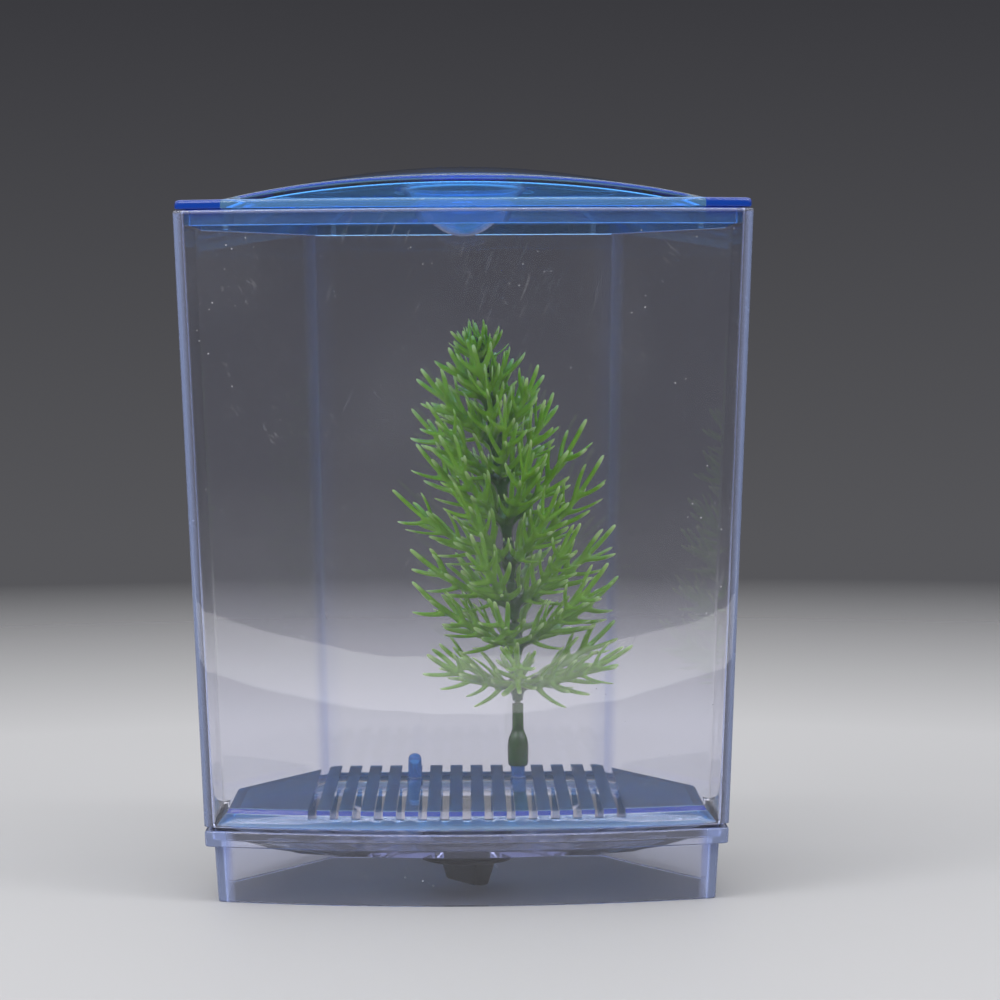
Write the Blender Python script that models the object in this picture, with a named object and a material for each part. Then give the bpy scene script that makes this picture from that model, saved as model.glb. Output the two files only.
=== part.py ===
"""Fish breeding box: a clear tank on a clear stand, with a blue vaulted lid,
a blue slotted grate, a quarter-turn drain and a plastic plant on a peg.

Metres, +Z up, +X to the right seen from the front, the front faces -Y. The origin
is on the table, under the middle of the tank's rim.
"""

import math
from dataclasses import dataclass, replace

import bmesh
import bpy
from mathutils import Matrix, Vector

# Clearance between pieces that seat on each other, and the overrun of cutters
SEAT_GAP = 0.0003
OVERRUN = 0.004
MERGE_DISTANCE = 0.000015

# Tank rim outline
RIM_WIDTH = 0.145
RIM_DEPTH = 0.107
RIM_BACK_WIDTH = 0.0858
RIM_SIDE = 0.044
RIM_BOW = 0.011
RIM_Z = 0.1747

# Tank outline at the bottom of its walls, drawn in from the rim
FOOT_SIDE_SETBACK = 0.0061
FOOT_BACK_NARROWING = 0.0028
FOOT_SIDE = 0.042
FOOT_BOW = 0.010
FOOT_FRONT_SETBACK = 0.005
FOOT_BACK_SETBACK = 0.001
FOOT_Z = 0.0196
TANK_WALL = 0.0023
TANK_CORNER = 0.0014
RIM_ROUND = 0.0005

# Tank floor: a ledge for the grate, then a well that falls to the drain
LEDGE_THICKNESS = 0.0027
WELL_CLEARANCE = 0.0006
WELL_DROP = 0.0049
WELL_FLOOR = 0.0024
WELL_WIDTH_share = 0.70
WELL_FRONT_share = 0.93
WELL_BACK_share = 0.55

# Drain hub, hole and axis
DRAIN_BEHIND_FRONT = 0.0303
HUB_RADIUS = 0.0174
HUB_STEP = 0.0003
HUB_DISH = 0.0004
DRAIN_HOLE_RADIUS = 0.0087

# Stand: a collar round the tank's foot, a shelf and a skirt
COLLAR_TOP_Z = 0.0185
COLLAR_HEIGHT = 0.0040
COLLAR_WALL = 0.0021
SHELF_THICKNESS = 0.0016
SKIRT_FRONT_STEP = 0.0024
SKIRT_SIDE_STEP = 0.0022
SKIRT_SIDE_DRAFT = 0.0008
SKIRT_FRONT_DRAFT = 0.0005
SKIRT_SIDE = 0.0305
SKIRT_BACK_WIDTH = 0.0752
SKIRT_BACK_REACH = 0.068
SKIRT_BOW = 0.0101
SKIRT_WALL = 0.0022
SKIRT_ROUND = 0.0005

# Grate
GRATE_SIDE_CLEARANCE = 0.0010
GRATE_HEIGHT = 0.0044
GRATE_FLARE = 0.0030
GRATE_SHEET = 0.0016
GRATE_BEAD = 0.0007
SLOT_COUNT = 15
SLOT_PITCH = 0.00555
SLOT_WIDTH = 0.0022
SLOT_DEPTH = 0.0021

# Pegs that hold plants, between two slots each
PEG_PITCHES_share = 2.5
PEG_BEFORE_BACK = 0.0359
PEG_RADIUS = 0.0018
PEG_HEIGHT = 0.0071
PEG_COLLAR_RADIUS = 0.0021
PEG_COLLAR_HEIGHT = 0.0006

# Lid: plate, skirt and nibs
LID_OVERHANG_INSET = 0.0005
LID_PLATE = 0.0023
LID_ROUND = 0.0006
LID_SKIRT_CLEARANCE = 0.0004
LID_SKIRT_WALL = 0.0015
LID_SKIRT_DEPTH = 0.0041
NIB_FROM_MIDDLE = 0.032
NIB_WIDTH = 0.0013
NIB_DROP = 0.0026
END_NIB_FROM_SIDE = 0.0135
END_NIB_DROP = 0.0011

# Lid: raised vault
VAULT_BORDER = 0.0030
VAULT_FROM_SIDE = 0.0121
VAULT_EDGE_RISE = 0.0057
VAULT_CROWN_RISE = 0.0096
VAULT_SHEET = 0.0019

# Lid: finger cup in the crown
CUP_MOUTH_RADIUS = 0.0175
CUP_DEPTH = 0.0178
CUP_WALL = 0.0016
CUP_ROOT_share = 0.45
CUP_RING_shares = (0.16, 0.34, 0.54, 0.76, 1.0)

# Drain seat, seal and knob
SEAT_DISC_RADIUS = 0.0130
SEAT_DISC_HEIGHT = 0.0014
SEAT_BORE_RADIUS = 0.0033
PORT_INNER_RADIUS = 0.0046
PORT_OUTER_RADIUS = 0.0071
PORT_ANGLE = math.radians(70)
SEAL_HEIGHT = 0.0010
SEAL_WIDTH = 0.0023
KNOB_RADIUS = 0.0117
KNOB_FLANGE = 0.0011
KNOB_SPINDLE_HEAD = 0.0008
GRIP_TOP_LENGTH = 0.0205
GRIP_FOOT_LENGTH = 0.0150
GRIP_TOP_WIDTH = 0.0056
GRIP_FOOT_WIDTH = 0.0042
GRIP_DROP = 0.0060
GRIP_TURN = math.radians(-58)
POINTER_WIDTH = 0.0024

# Plant: sleeve on its peg, then a core rod that carries nine whorls
SLEEVE_LIFT = 0.0035
SLEEVE_BORE_DEPTH = 0.0042
SLEEVE_FOOT_RADIUS = 0.0024
BULB_RADIUS = 0.0028
BULB_HEIGHT = 0.0100
BULB_RING_shares = (0.35, 0.60, 0.85)
NECK_RADIUS = 0.0015
NECK_HEIGHT = 0.0072
ROD_RADIUS = 0.0008
STEM_LEAN_share = -0.0204
STEM_BOW = -0.00835
WHORL_COUNT = 9
WHORL_PITCH = 0.0110
TUBE_RADIUS = 0.00175
TUBE_WALL = 0.0004
BRANCHES = 6
BRANCH_BAND = 0.0020
BRANCH_BAND_FOOT_share = 0.30
BRANCH_LENGTH = 0.0380
BRANCH_LENGTH_SPREAD_share = 0.06
BRANCH_BACK_TRIM_share = 0.16
BRANCH_RISE_SPREAD = math.radians(5)
WHORL_TURN = math.radians(20)

# Shares of a branch's length: bare root, each swelling that carries needles, runs after them, tip
BRANCH_ROOT_share = 0.17
BRANCH_NODE_share = 0.08
BRANCH_RUN_shares = (0.13, 0.14)
BRANCH_TIP_share = 0.26
BRANCH_WIDTH_share = 0.92
BRANCH_RUN_WIDTH_share = 0.83
BRANCH_LIFT_share = 0.10

# Needles: length, backward sweep along the branch, curve and taper
NEEDLE_LENGTH = 0.0092
NEEDLE_NODE_shares = (1.15, 1.0)
NEEDLE_SHORTEST_share = 0.45
NEEDLE_SWEEP_share = 0.55
NEEDLE_ROOT_LIFT_share = 0.35
NEEDLE_TIP_SPREAD_share = 0.45
NEEDLE_MIDDLE_share = 0.62
NEEDLE_SIDE_share = 0.7

# Foliage by whorl, from the lowest: branch length and rise above the horizontal
LENGTH_shares = (0.86, 0.92, 0.99, 1.04, 1.02, 0.94, 0.79, 0.58, 0.28)
RISE_DEGREES = (3, 14, 21, 27, 33, 39, 45, 52, 64)

# Mesh fineness
FRONT_STEPS = 14
CORNER_STEPS = 2
WALL_DIVISIONS = (2, 3, 4, 3, 2)
CIRCLE_STEPS = 24
STEM_STEPS = 10
VAULT_STEPS_ACROSS = 16
VAULT_STEPS_ALONG = 8
SMOOTH_ANGLE = math.radians(32)


@dataclass(frozen=True)
class Outline:
    """Plan of the box: bowed front, parallel sides, chamfers, flat back."""

    half_width: float
    apex_y: float
    bow: float
    side: float
    back_half: float
    back_y: float

    def front_corner_y(self):
        return self.apex_y + self.bow

    def mid_corner_y(self):
        return self.front_corner_y() + self.side

    def bow_radius(self):
        return (self.half_width ** 2 + self.bow ** 2) / (2 * self.bow)

    def inset(self, distance):
        """The same plan with every wall moved inwards by a distance."""
        centre_y = self.apex_y + self.bow_radius()
        half_width = self.half_width - distance
        radius = self.bow_radius() - distance
        corner_y = centre_y - math.sqrt(radius ** 2 - half_width ** 2)
        back_y = self.back_y - distance
        run = Vector((self.back_half - self.half_width, self.back_y - self.mid_corner_y()))
        normal = Vector((run.y, -run.x)).normalized()
        level = normal.x * self.half_width + normal.y * self.mid_corner_y() - distance
        mid_y = (level - normal.x * half_width) / normal.y
        back_half = (level - normal.y * back_y) / normal.x
        return Outline(half_width, self.apex_y + distance, corner_y - self.apex_y - distance,
                       mid_y - corner_y, back_half, back_y)

    def blend(self, other, share):
        """A plan between this one and another."""
        def mix(a, b):
            return a + (b - a) * share
        return Outline(mix(self.half_width, other.half_width), mix(self.apex_y, other.apex_y),
                       mix(self.bow, other.bow), mix(self.side, other.side),
                       mix(self.back_half, other.back_half), mix(self.back_y, other.back_y))

    def loop(self, z, corner=TANK_CORNER):
        """Points round the plan at a height, anticlockwise, with rounded corners."""
        radius = self.bow_radius()
        reach = math.asin(self.half_width / radius)
        angles = [reach * (2 * step / FRONT_STEPS - 1) for step in range(FRONT_STEPS + 1)]
        points = [Vector((radius * math.sin(a), self.apex_y + radius * (1 - math.cos(a)))) for a in angles]
        points += [Vector((self.half_width, self.mid_corner_y())), Vector((self.back_half, self.back_y)),
                   Vector((-self.back_half, self.back_y)), Vector((-self.half_width, self.mid_corner_y()))]
        front = points[1:FRONT_STEPS]
        arcs = []
        for index in [0] + list(range(FRONT_STEPS, len(points))):
            arcs.append(corner_arc(points[index - 1], points[index], points[(index + 1) % len(points)], corner))
        plan = arcs[0] + front + arcs[1]
        for arc, following, divisions in zip(arcs[1:], arcs[2:] + arcs[:1], WALL_DIVISIONS):
            for step in range(1, divisions):
                plan.append(arc[-1].lerp(following[0], step / divisions))
            if following is not arcs[0]:
                plan += following
        return [Vector((p.x, p.y, z)) for p in plan]


def corner_arc(before, corner, after, radius):
    """Points of the fillet that rounds one corner of a plan."""
    to_before = (before - corner).normalized()
    to_after = (after - corner).normalized()
    half_angle = to_before.angle(to_after) / 2
    middle = (to_before + to_after).normalized()
    centre = corner + middle * (radius / math.sin(half_angle))
    start = corner + to_before * (radius / math.tan(half_angle)) - centre
    turn = math.pi - 2 * half_angle
    arc = []
    for step in range(CORNER_STEPS + 1):
        spin = Matrix.Rotation(turn * step / CORNER_STEPS, 2)
        arc.append(centre + spin @ start)
    return arc


FRONT_Y = -RIM_DEPTH / 2
RIM = Outline(RIM_WIDTH / 2, FRONT_Y, RIM_BOW, RIM_SIDE, RIM_BACK_WIDTH / 2, RIM_DEPTH / 2)
FOOT = Outline(RIM_WIDTH / 2 - FOOT_SIDE_SETBACK, FRONT_Y + FOOT_FRONT_SETBACK, FOOT_BOW, FOOT_SIDE,
               RIM_BACK_WIDTH / 2 - FOOT_BACK_NARROWING, RIM_DEPTH / 2 - FOOT_BACK_SETBACK)
DRAIN_AXIS = Vector((0, FRONT_Y + DRAIN_BEHIND_FRONT, 0))
PEG_X = PEG_PITCHES_share * SLOT_PITCH
PEG_Y = RIM_DEPTH / 2 - PEG_BEFORE_BACK
VAULT_HALF_SPAN = RIM_WIDTH / 2 - VAULT_FROM_SIDE

# Heights that several pieces share
SHELF_Z = COLLAR_TOP_Z - COLLAR_HEIGHT + SHELF_THICKNESS
LEDGE_UNDER_Z = SHELF_Z + SEAT_GAP
LEDGE_Z = LEDGE_UNDER_Z + LEDGE_THICKNESS
WELL_Z = LEDGE_Z - WELL_DROP
WELL_UNDER_Z = WELL_Z - WELL_FLOOR
HUB_UNDER_Z = WELL_UNDER_Z - HUB_STEP
DISH_Z = WELL_Z - HUB_DISH
GRATE_FOOT_Z = LEDGE_Z + SEAT_GAP
GRATE_Z = GRATE_FOOT_Z + GRATE_HEIGHT
PLATE_UNDER_Z = RIM_Z + SEAT_GAP
PLATE_Z = PLATE_UNDER_Z + LID_PLATE
CROWN_Z = PLATE_Z + VAULT_CROWN_RISE


def tank_plan(z):
    """Outer plan of the tank's walls at a height."""
    return FOOT.blend(RIM, (z - FOOT_Z) / (RIM_Z - FOOT_Z))


def skirt_plan(share):
    """Outer plan of the stand's skirt, from its foot at 0 to the shelf at 1."""
    collar = tank_plan(COLLAR_TOP_Z - COLLAR_HEIGHT)
    top_half_width = collar.half_width - SKIRT_SIDE_STEP
    top_apex = collar.apex_y + SKIRT_FRONT_STEP
    foot_apex = top_apex + SKIRT_FRONT_DRAFT
    back_y = foot_apex + SKIRT_BOW + SKIRT_BACK_REACH
    top = Outline(top_half_width, top_apex, SKIRT_BOW, SKIRT_SIDE, SKIRT_BACK_WIDTH / 2, back_y)
    foot = replace(top, half_width=top_half_width - SKIRT_SIDE_DRAFT, apex_y=foot_apex)
    return foot.blend(top, share)


def circle_like(loop, radius, z, axis=DRAIN_AXIS):
    """A circle round an axis, whose points face those of another loop."""
    points = []
    for point in loop:
        angle = math.atan2(point.y - axis.y, point.x - axis.x)
        points.append(Vector((axis.x + radius * math.cos(angle), axis.y + radius * math.sin(angle), z)))
    return points


def ring(radius, z, steps=CIRCLE_STEPS, x=0.0, y=0.0, start=0.0):
    """A circle at a height."""
    angles = [start + 2 * math.pi * step / steps for step in range(steps)]
    return [Vector((x + radius * math.cos(a), y + radius * math.sin(a), z)) for a in angles]


def even_circle(loop, radius, z, axis=DRAIN_AXIS):
    """An evenly divided circle round an axis, with as many points as another loop and its start."""
    start = math.atan2(loop[0].y - axis.y, loop[0].x - axis.x)
    return ring(radius, z, len(loop), axis.x, axis.y, start)


def loft(name, loops, closed=False):
    """A solid through loops of equally many points: a ring if closed, else with two end faces."""
    mesh = bmesh.new()
    rows = [[mesh.verts.new(point) for point in loop] for loop in loops]
    pairs = list(zip(rows, rows[1:]))
    if closed:
        pairs.append((rows[-1], rows[0]))
    else:
        mesh.faces.new(rows[0])
        mesh.faces.new(rows[-1])
    for lower, upper in pairs:
        for index in range(len(lower)):
            following = (index + 1) % len(lower)
            mesh.faces.new((lower[index], lower[following], upper[following], upper[index]))
    bmesh.ops.recalc_face_normals(mesh, faces=mesh.faces)
    return make_object(name, mesh)


def make_object(name, mesh):
    """An object from a bmesh, with smooth shading across shallow edges."""
    data = bpy.data.meshes.new(name)
    mesh.to_mesh(data)
    mesh.free()
    data.shade_smooth()
    data.set_sharp_from_angle(angle=SMOOTH_ANGLE)
    created = bpy.data.objects.new(name, data)
    bpy.context.scene.collection.objects.link(created)
    return created


def box(name, low, high):
    """A block between two corners."""
    mesh = bmesh.new()
    bmesh.ops.create_cube(mesh, size=1.0)
    size = Vector(high) - Vector(low)
    bmesh.ops.scale(mesh, vec=size, verts=mesh.verts)
    bmesh.ops.translate(mesh, vec=(Vector(high) + Vector(low)) / 2, verts=mesh.verts)
    return make_object(name, mesh)


def combine(target, tool, operation):
    """Join a tool to a target, or cut it away, and remove the tool."""
    modifier = target.modifiers.new(tool.name, "BOOLEAN")
    modifier.object = tool
    modifier.operation = operation
    modifier.solver = "EXACT"
    bpy.context.view_layer.update()
    evaluated = target.evaluated_get(bpy.context.evaluated_depsgraph_get())
    merged = bpy.data.meshes.new_from_object(evaluated)
    target.modifiers.clear()
    target.data = merged
    target.data.shade_smooth()
    target.data.set_sharp_from_angle(angle=SMOOTH_ANGLE)
    bpy.data.objects.remove(tool)
    return target


def finish(node, material, tidy=False):
    """Give a node its material, after merging the double points that cuts can leave."""
    if tidy:
        mesh = bmesh.new()
        mesh.from_mesh(node.data)
        bmesh.ops.remove_doubles(mesh, verts=mesh.verts, dist=MERGE_DISTANCE)
        mesh.to_mesh(node.data)
        mesh.free()
    node.data.materials.clear()
    node.data.materials.append(material)
    return node


def plastic(name, colour, roughness, transmission=0.0, alpha=1.0):
    """A Principled material for one kind of moulded plastic."""
    material = bpy.data.materials.new(name)
    material.use_nodes = True
    shader = material.node_tree.nodes["Principled BSDF"]
    shader.inputs["Base Color"].default_value = (*colour, 1.0)
    shader.inputs["Roughness"].default_value = roughness
    shader.inputs["Metallic"].default_value = 0.0
    shader.inputs["Transmission Weight"].default_value = transmission
    shader.inputs["Alpha"].default_value = alpha
    return material


def build_tank():
    """Clear tank: drafted walls, a ledge, and a well that falls to a round drain hub."""
    foot_inset = COLLAR_WALL + SEAT_GAP
    ledge_outer = tank_plan(LEDGE_UNDER_Z).inset(foot_inset)
    well = skirt_plan(1.0).inset(SKIRT_WALL + WELL_CLEARANCE)
    rim_inner = RIM.inset(TANK_WALL)
    ledge_inner = tank_plan(LEDGE_Z).inset(TANK_WALL)
    well_under = well.loop(LEDGE_UNDER_Z)
    well_over = well.inset(WELL_CLEARANCE).loop(LEDGE_Z)
    sump_under = sump_loop(well, WELL_UNDER_Z)
    sump_over = sump_loop(well.inset(WELL_CLEARANCE), WELL_Z)
    loops = [
        even_circle(sump_under, DRAIN_HOLE_RADIUS, HUB_UNDER_Z),
        circle_like(sump_under, HUB_RADIUS - HUB_STEP, HUB_UNDER_Z),
        circle_like(sump_under, HUB_RADIUS, WELL_UNDER_Z),
        sump_under,
        well_under,
        ledge_outer.loop(LEDGE_UNDER_Z),
        tank_plan(FOOT_Z).inset(foot_inset).loop(FOOT_Z),
        tank_plan(FOOT_Z).loop(FOOT_Z),
        tank_plan(RIM_Z - RIM_ROUND).loop(RIM_Z - RIM_ROUND),
        RIM.inset(RIM_ROUND).loop(RIM_Z),
        rim_inner.inset(-RIM_ROUND).loop(RIM_Z),
        tank_plan(RIM_Z - RIM_ROUND).inset(TANK_WALL).loop(RIM_Z - RIM_ROUND),
        ledge_inner.loop(LEDGE_Z),
        well_over,
        sump_over,
        circle_like(sump_over, HUB_RADIUS, WELL_Z),
        circle_like(sump_over, HUB_RADIUS - HUB_DISH, DISH_Z),
        even_circle(sump_over, DRAIN_HOLE_RADIUS, DISH_Z),
    ]
    return loft("tank", loops, closed=True)


def sump_loop(well, z):
    """The well's flat bottom: its plan drawn in towards the drain, more at the back than in front."""
    points = []
    for point in well.loop(z):
        along = point.y - DRAIN_AXIS.y
        share = WELL_FRONT_share if along < 0 else WELL_BACK_share
        points.append(Vector((point.x * WELL_WIDTH_share, DRAIN_AXIS.y + along * share, z)))
    return points


def build_stand():
    """Clear stand: a collar round the tank's foot, a shelf that it rests on, and an open skirt."""
    under_collar_z = COLLAR_TOP_Z - COLLAR_HEIGHT
    top = skirt_plan(1.0)
    foot = skirt_plan(0.0)
    loops = [
        tank_plan(COLLAR_TOP_Z).inset(COLLAR_WALL).loop(COLLAR_TOP_Z),
        tank_plan(COLLAR_TOP_Z).loop(COLLAR_TOP_Z),
        tank_plan(under_collar_z).loop(under_collar_z),
        top.loop(under_collar_z),
        foot.loop(SKIRT_ROUND),
        foot.inset(SKIRT_ROUND).loop(0.0),
        foot.inset(SKIRT_WALL).loop(0.0),
        top.inset(SKIRT_WALL).loop(SHELF_Z),
        tank_plan(SHELF_Z).inset(COLLAR_WALL).loop(SHELF_Z),
    ]
    return loft("stand", loops, closed=True)


def build_grate():
    """Blue inverted tray with slots from front to back, and two pegs."""
    foot = tank_plan(GRATE_FOOT_Z).inset(TANK_WALL + GRATE_SIDE_CLEARANCE)
    top = foot.inset(GRATE_FLARE)
    loops = [
        top.inset(GRATE_SHEET).loop(GRATE_Z - GRATE_SHEET),
        foot.inset(GRATE_SHEET).loop(GRATE_FOOT_Z),
        foot.loop(GRATE_FOOT_Z),
        top.inset(-GRATE_BEAD / 2).loop(GRATE_Z - GRATE_BEAD),
        top.inset(GRATE_BEAD / 2).loop(GRATE_Z),
    ]
    grate = loft("grate", loops)
    first = -(SLOT_COUNT - 1) / 2
    for index in range(SLOT_COUNT):
        x = (first + index) * SLOT_PITCH
        slot = box("slot", (x - SLOT_WIDTH / 2, FRONT_Y - OVERRUN, GRATE_Z - SLOT_DEPTH),
                   (x + SLOT_WIDTH / 2, RIM_DEPTH / 2 + OVERRUN, GRATE_Z + OVERRUN))
        combine(grate, slot, "DIFFERENCE")
    for side in (-1, 1):
        combine(grate, peg(side * PEG_X), "UNION")
    return grate


def peg(x):
    """One peg with a low collar and a domed head, rooted in the sheet."""
    dome = PEG_RADIUS
    shoulder = GRATE_Z + PEG_HEIGHT - dome
    loops = [
        ring(PEG_COLLAR_RADIUS, GRATE_Z - GRATE_SHEET, STEM_STEPS, x, PEG_Y),
        ring(PEG_COLLAR_RADIUS, GRATE_Z + PEG_COLLAR_HEIGHT, STEM_STEPS, x, PEG_Y),
        ring(PEG_RADIUS, GRATE_Z + PEG_COLLAR_HEIGHT, STEM_STEPS, x, PEG_Y),
    ]
    for degrees in (0, 35, 70):
        angle = math.radians(degrees)
        loops.append(ring(PEG_RADIUS * math.cos(angle), shoulder + dome * math.sin(angle),
                          STEM_STEPS, x, PEG_Y))
    return loft("peg", loops)


def vault_height(x, y):
    """Height of the vault's top: an arch across, crowned a little from front to back."""
    half_length = RIM_DEPTH / 2 - VAULT_BORDER
    rise = VAULT_CROWN_RISE - (VAULT_CROWN_RISE - VAULT_EDGE_RISE) * (y / half_length) ** 2
    return PLATE_Z + rise * (1 - (x / VAULT_HALF_SPAN) ** 2)


def vault_block(name, sink, reach, floor_z):
    """A block under the vault's surface, lowered by a sheet's thickness, down to a floor."""
    mesh = bmesh.new()
    bmesh.ops.create_grid(mesh, x_segments=VAULT_STEPS_ACROSS, y_segments=VAULT_STEPS_ALONG, size=1.0)
    for vert in mesh.verts:
        vert.co.x *= reach
        vert.co.y *= RIM_DEPTH / 2
        vert.co.z = vault_height(vert.co.x, vert.co.y) - sink
    base = bmesh.ops.extrude_face_region(mesh, geom=list(mesh.faces))
    for item in base["geom"]:
        if isinstance(item, bmesh.types.BMVert):
            item.co.z = floor_z
    bmesh.ops.recalc_face_normals(mesh, faces=mesh.faces)
    return make_object(name, mesh)


def vault_body(name, sink, border, reach, floor_z):
    """The vault's block trimmed to the lid's plan."""
    plan = RIM.inset(border)
    trim = loft(name + "_trim", [plan.loop(floor_z - OVERRUN), plan.loop(CROWN_Z + OVERRUN)])
    return combine(vault_block(name, sink, reach, floor_z), trim, "INTERSECT")


def cup_profile(shrink, top_z):
    """Radius and height pairs of the finger cup, from its bottom to its mouth."""
    bottom = CROWN_Z - CUP_DEPTH + shrink
    mouth = CUP_MOUTH_RADIUS - shrink
    pairs = []
    for share in CUP_RING_shares:
        height = share ** (1 / CUP_ROOT_share) * (CROWN_Z - bottom)
        pairs.append((mouth * share, bottom + height))
    pairs[-1] = (mouth, top_z)
    return pairs


def cup_solid(name, shrink, top_z):
    """The finger cup as a turned solid."""
    return loft(name, [ring(radius, z) for radius, z in cup_profile(shrink, top_z)])


def lid_plate():
    """Plate with a rounded edge, and the skirt that drops inside the tank's rim."""
    edge = RIM.inset(LID_OVERHANG_INSET)
    skirt = RIM.inset(TANK_WALL + LID_SKIRT_CLEARANCE)
    skirt_z = PLATE_UNDER_Z - LID_SKIRT_DEPTH
    loops = [
        skirt.inset(LID_SKIRT_WALL).loop(PLATE_UNDER_Z),
        skirt.inset(LID_SKIRT_WALL).loop(skirt_z),
        skirt.loop(skirt_z),
        skirt.loop(PLATE_UNDER_Z),
        edge.loop(PLATE_UNDER_Z),
        edge.loop(PLATE_Z - LID_ROUND),
        edge.inset(LID_ROUND).loop(PLATE_Z),
    ]
    return loft("lid", loops)


def nib(x, drop):
    """A small tongue under the front of the lid's skirt."""
    skirt = RIM.inset(TANK_WALL + LID_SKIRT_CLEARANCE)
    radius = skirt.bow_radius()
    front = skirt.apex_y + radius - math.sqrt(radius ** 2 - (abs(x) + NIB_WIDTH) ** 2)
    depth = LID_SKIRT_WALL / 2
    skirt_z = PLATE_UNDER_Z - LID_SKIRT_DEPTH
    return box("nib", (x - NIB_WIDTH / 2, front, skirt_z - drop),
               (x + NIB_WIDTH / 2, front + depth, skirt_z + LID_SKIRT_DEPTH / 2))


def build_lid():
    """Blue lid: plate, skirt, hollow vault crowned over the tank, finger cup and nibs."""
    lid = lid_plate()
    combine(lid, vault_body("vault", 0.0, VAULT_BORDER, VAULT_HALF_SPAN + VAULT_SHEET,
                            PLATE_UNDER_Z + LID_PLATE / 3), "UNION")
    combine(lid, vault_body("hollow", VAULT_SHEET, VAULT_BORDER + VAULT_SHEET, VAULT_HALF_SPAN - VAULT_SHEET,
                            PLATE_UNDER_Z - OVERRUN), "DIFFERENCE")
    lip_z = vault_height(CUP_MOUTH_RADIUS, 0) - VAULT_SHEET / 3
    combine(lid, cup_solid("cup", 0.0, lip_z), "UNION")
    combine(lid, cup_solid("cup_hollow", CUP_WALL, CROWN_Z + OVERRUN), "DIFFERENCE")
    for side in (-1, 1):
        combine(lid, nib(side * NIB_FROM_MIDDLE, NIB_DROP), "UNION")
        combine(lid, nib(side * (RIM_WIDTH / 2 - END_NIB_FROM_SIDE), END_NIB_DROP), "UNION")
    return lid


def port(turn, low, high):
    """A kidney-shaped port through a valve disc."""
    inner = []
    outer = []
    steps = CORNER_STEPS * 3
    for step in range(steps + 1):
        angle = turn + PORT_ANGLE * (step / steps - 1 / 2)
        direction = Vector((math.cos(angle), math.sin(angle), 0))
        inner.append(DRAIN_AXIS + direction * PORT_INNER_RADIUS)
        outer.append(DRAIN_AXIS + direction * PORT_OUTER_RADIUS)
    plan = outer + inner[::-1]
    return loft("port", [[p + Vector((0, 0, low)) for p in plan], [p + Vector((0, 0, high)) for p in plan]])


def turned(profile):
    """Circles round the drain's axis through a profile of radii and heights."""
    return [ring(radius, z, CIRCLE_STEPS, DRAIN_AXIS.x, DRAIN_AXIS.y) for radius, z in profile]


def build_drain_seat():
    """Black bush in the tank's floor: a disc in the dish, a neck through the hole, two ports."""
    neck = DRAIN_HOLE_RADIUS - SEAT_GAP
    disc_under = DISH_Z + SEAT_GAP
    disc_over = disc_under + SEAT_DISC_HEIGHT
    neck_foot = HUB_UNDER_Z
    profile = [
        (SEAT_BORE_RADIUS, neck_foot), (neck, neck_foot), (neck, disc_under),
        (SEAT_DISC_RADIUS, disc_under), (SEAT_DISC_RADIUS, disc_over - SEAT_GAP),
        (SEAT_DISC_RADIUS - SEAT_GAP, disc_over), (SEAT_BORE_RADIUS, disc_over),
    ]
    seat = loft("drain_seat", turned(profile), closed=True)
    for turn in (0, math.pi):
        combine(seat, port(turn, neck_foot - OVERRUN, disc_over + OVERRUN), "DIFFERENCE")
    return seat


def build_drain_seal():
    """Rubber ring between the drain hub and the knob's flange."""
    inner = DRAIN_HOLE_RADIUS + SEAT_GAP
    top = HUB_UNDER_Z - SEAT_GAP
    foot = top - SEAL_HEIGHT
    middle = (top + foot) / 2
    bulge = SEAL_HEIGHT / 4
    profile = [
        (inner + bulge, foot), (inner + SEAL_WIDTH - bulge, foot), (inner + SEAL_WIDTH, middle),
        (inner + SEAL_WIDTH - bulge, top), (inner + bulge, top), (inner, middle),
    ]
    return loft("drain_seal", turned(profile), closed=True)


def build_drain_knob():
    """Black quarter-turn knob: flange, spindle through the seat, ports, bar grip and pointer."""
    flange_over = HUB_UNDER_Z - SEAL_HEIGHT - 2 * SEAT_GAP
    flange_under = flange_over - KNOB_FLANGE
    boss_over = HUB_UNDER_Z - SEAT_GAP
    spindle = SEAT_BORE_RADIUS - SEAT_GAP
    head_over = DISH_Z + 2 * SEAT_GAP + SEAT_DISC_HEIGHT + KNOB_SPINDLE_HEAD
    profile = [
        (KNOB_RADIUS - SEAT_GAP, flange_under), (KNOB_RADIUS, flange_under + SEAT_GAP),
        (KNOB_RADIUS, flange_over), (DRAIN_HOLE_RADIUS, flange_over), (DRAIN_HOLE_RADIUS, boss_over),
        (spindle, boss_over), (spindle, head_over - KNOB_SPINDLE_HEAD / 2),
        (spindle - KNOB_SPINDLE_HEAD / 2, head_over),
    ]
    knob = loft("drain_knob", turned(profile))
    for turn in (math.pi / 2, -math.pi / 2):
        combine(knob, port(turn, flange_under - OVERRUN, boss_over + OVERRUN), "DIFFERENCE")
    combine(knob, grip(flange_under), "UNION")
    combine(knob, pointer(flange_under), "UNION")
    return knob


def bar_loop(length, width, z, turn):
    """A rounded bar's outline round the drain's axis."""
    half = Vector((length / 2, width / 2))
    nose = width / 4
    plan = [(half.x, -half.y + nose), (half.x, half.y - nose), (half.x - nose, half.y),
            (-half.x + nose, half.y), (-half.x, half.y - nose), (-half.x, -half.y + nose),
            (-half.x + nose, -half.y), (half.x - nose, -half.y)]
    spin = Matrix.Rotation(turn, 3, "Z")
    return [DRAIN_AXIS + spin @ Vector((x, y, z)) for x, y in plan]


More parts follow.
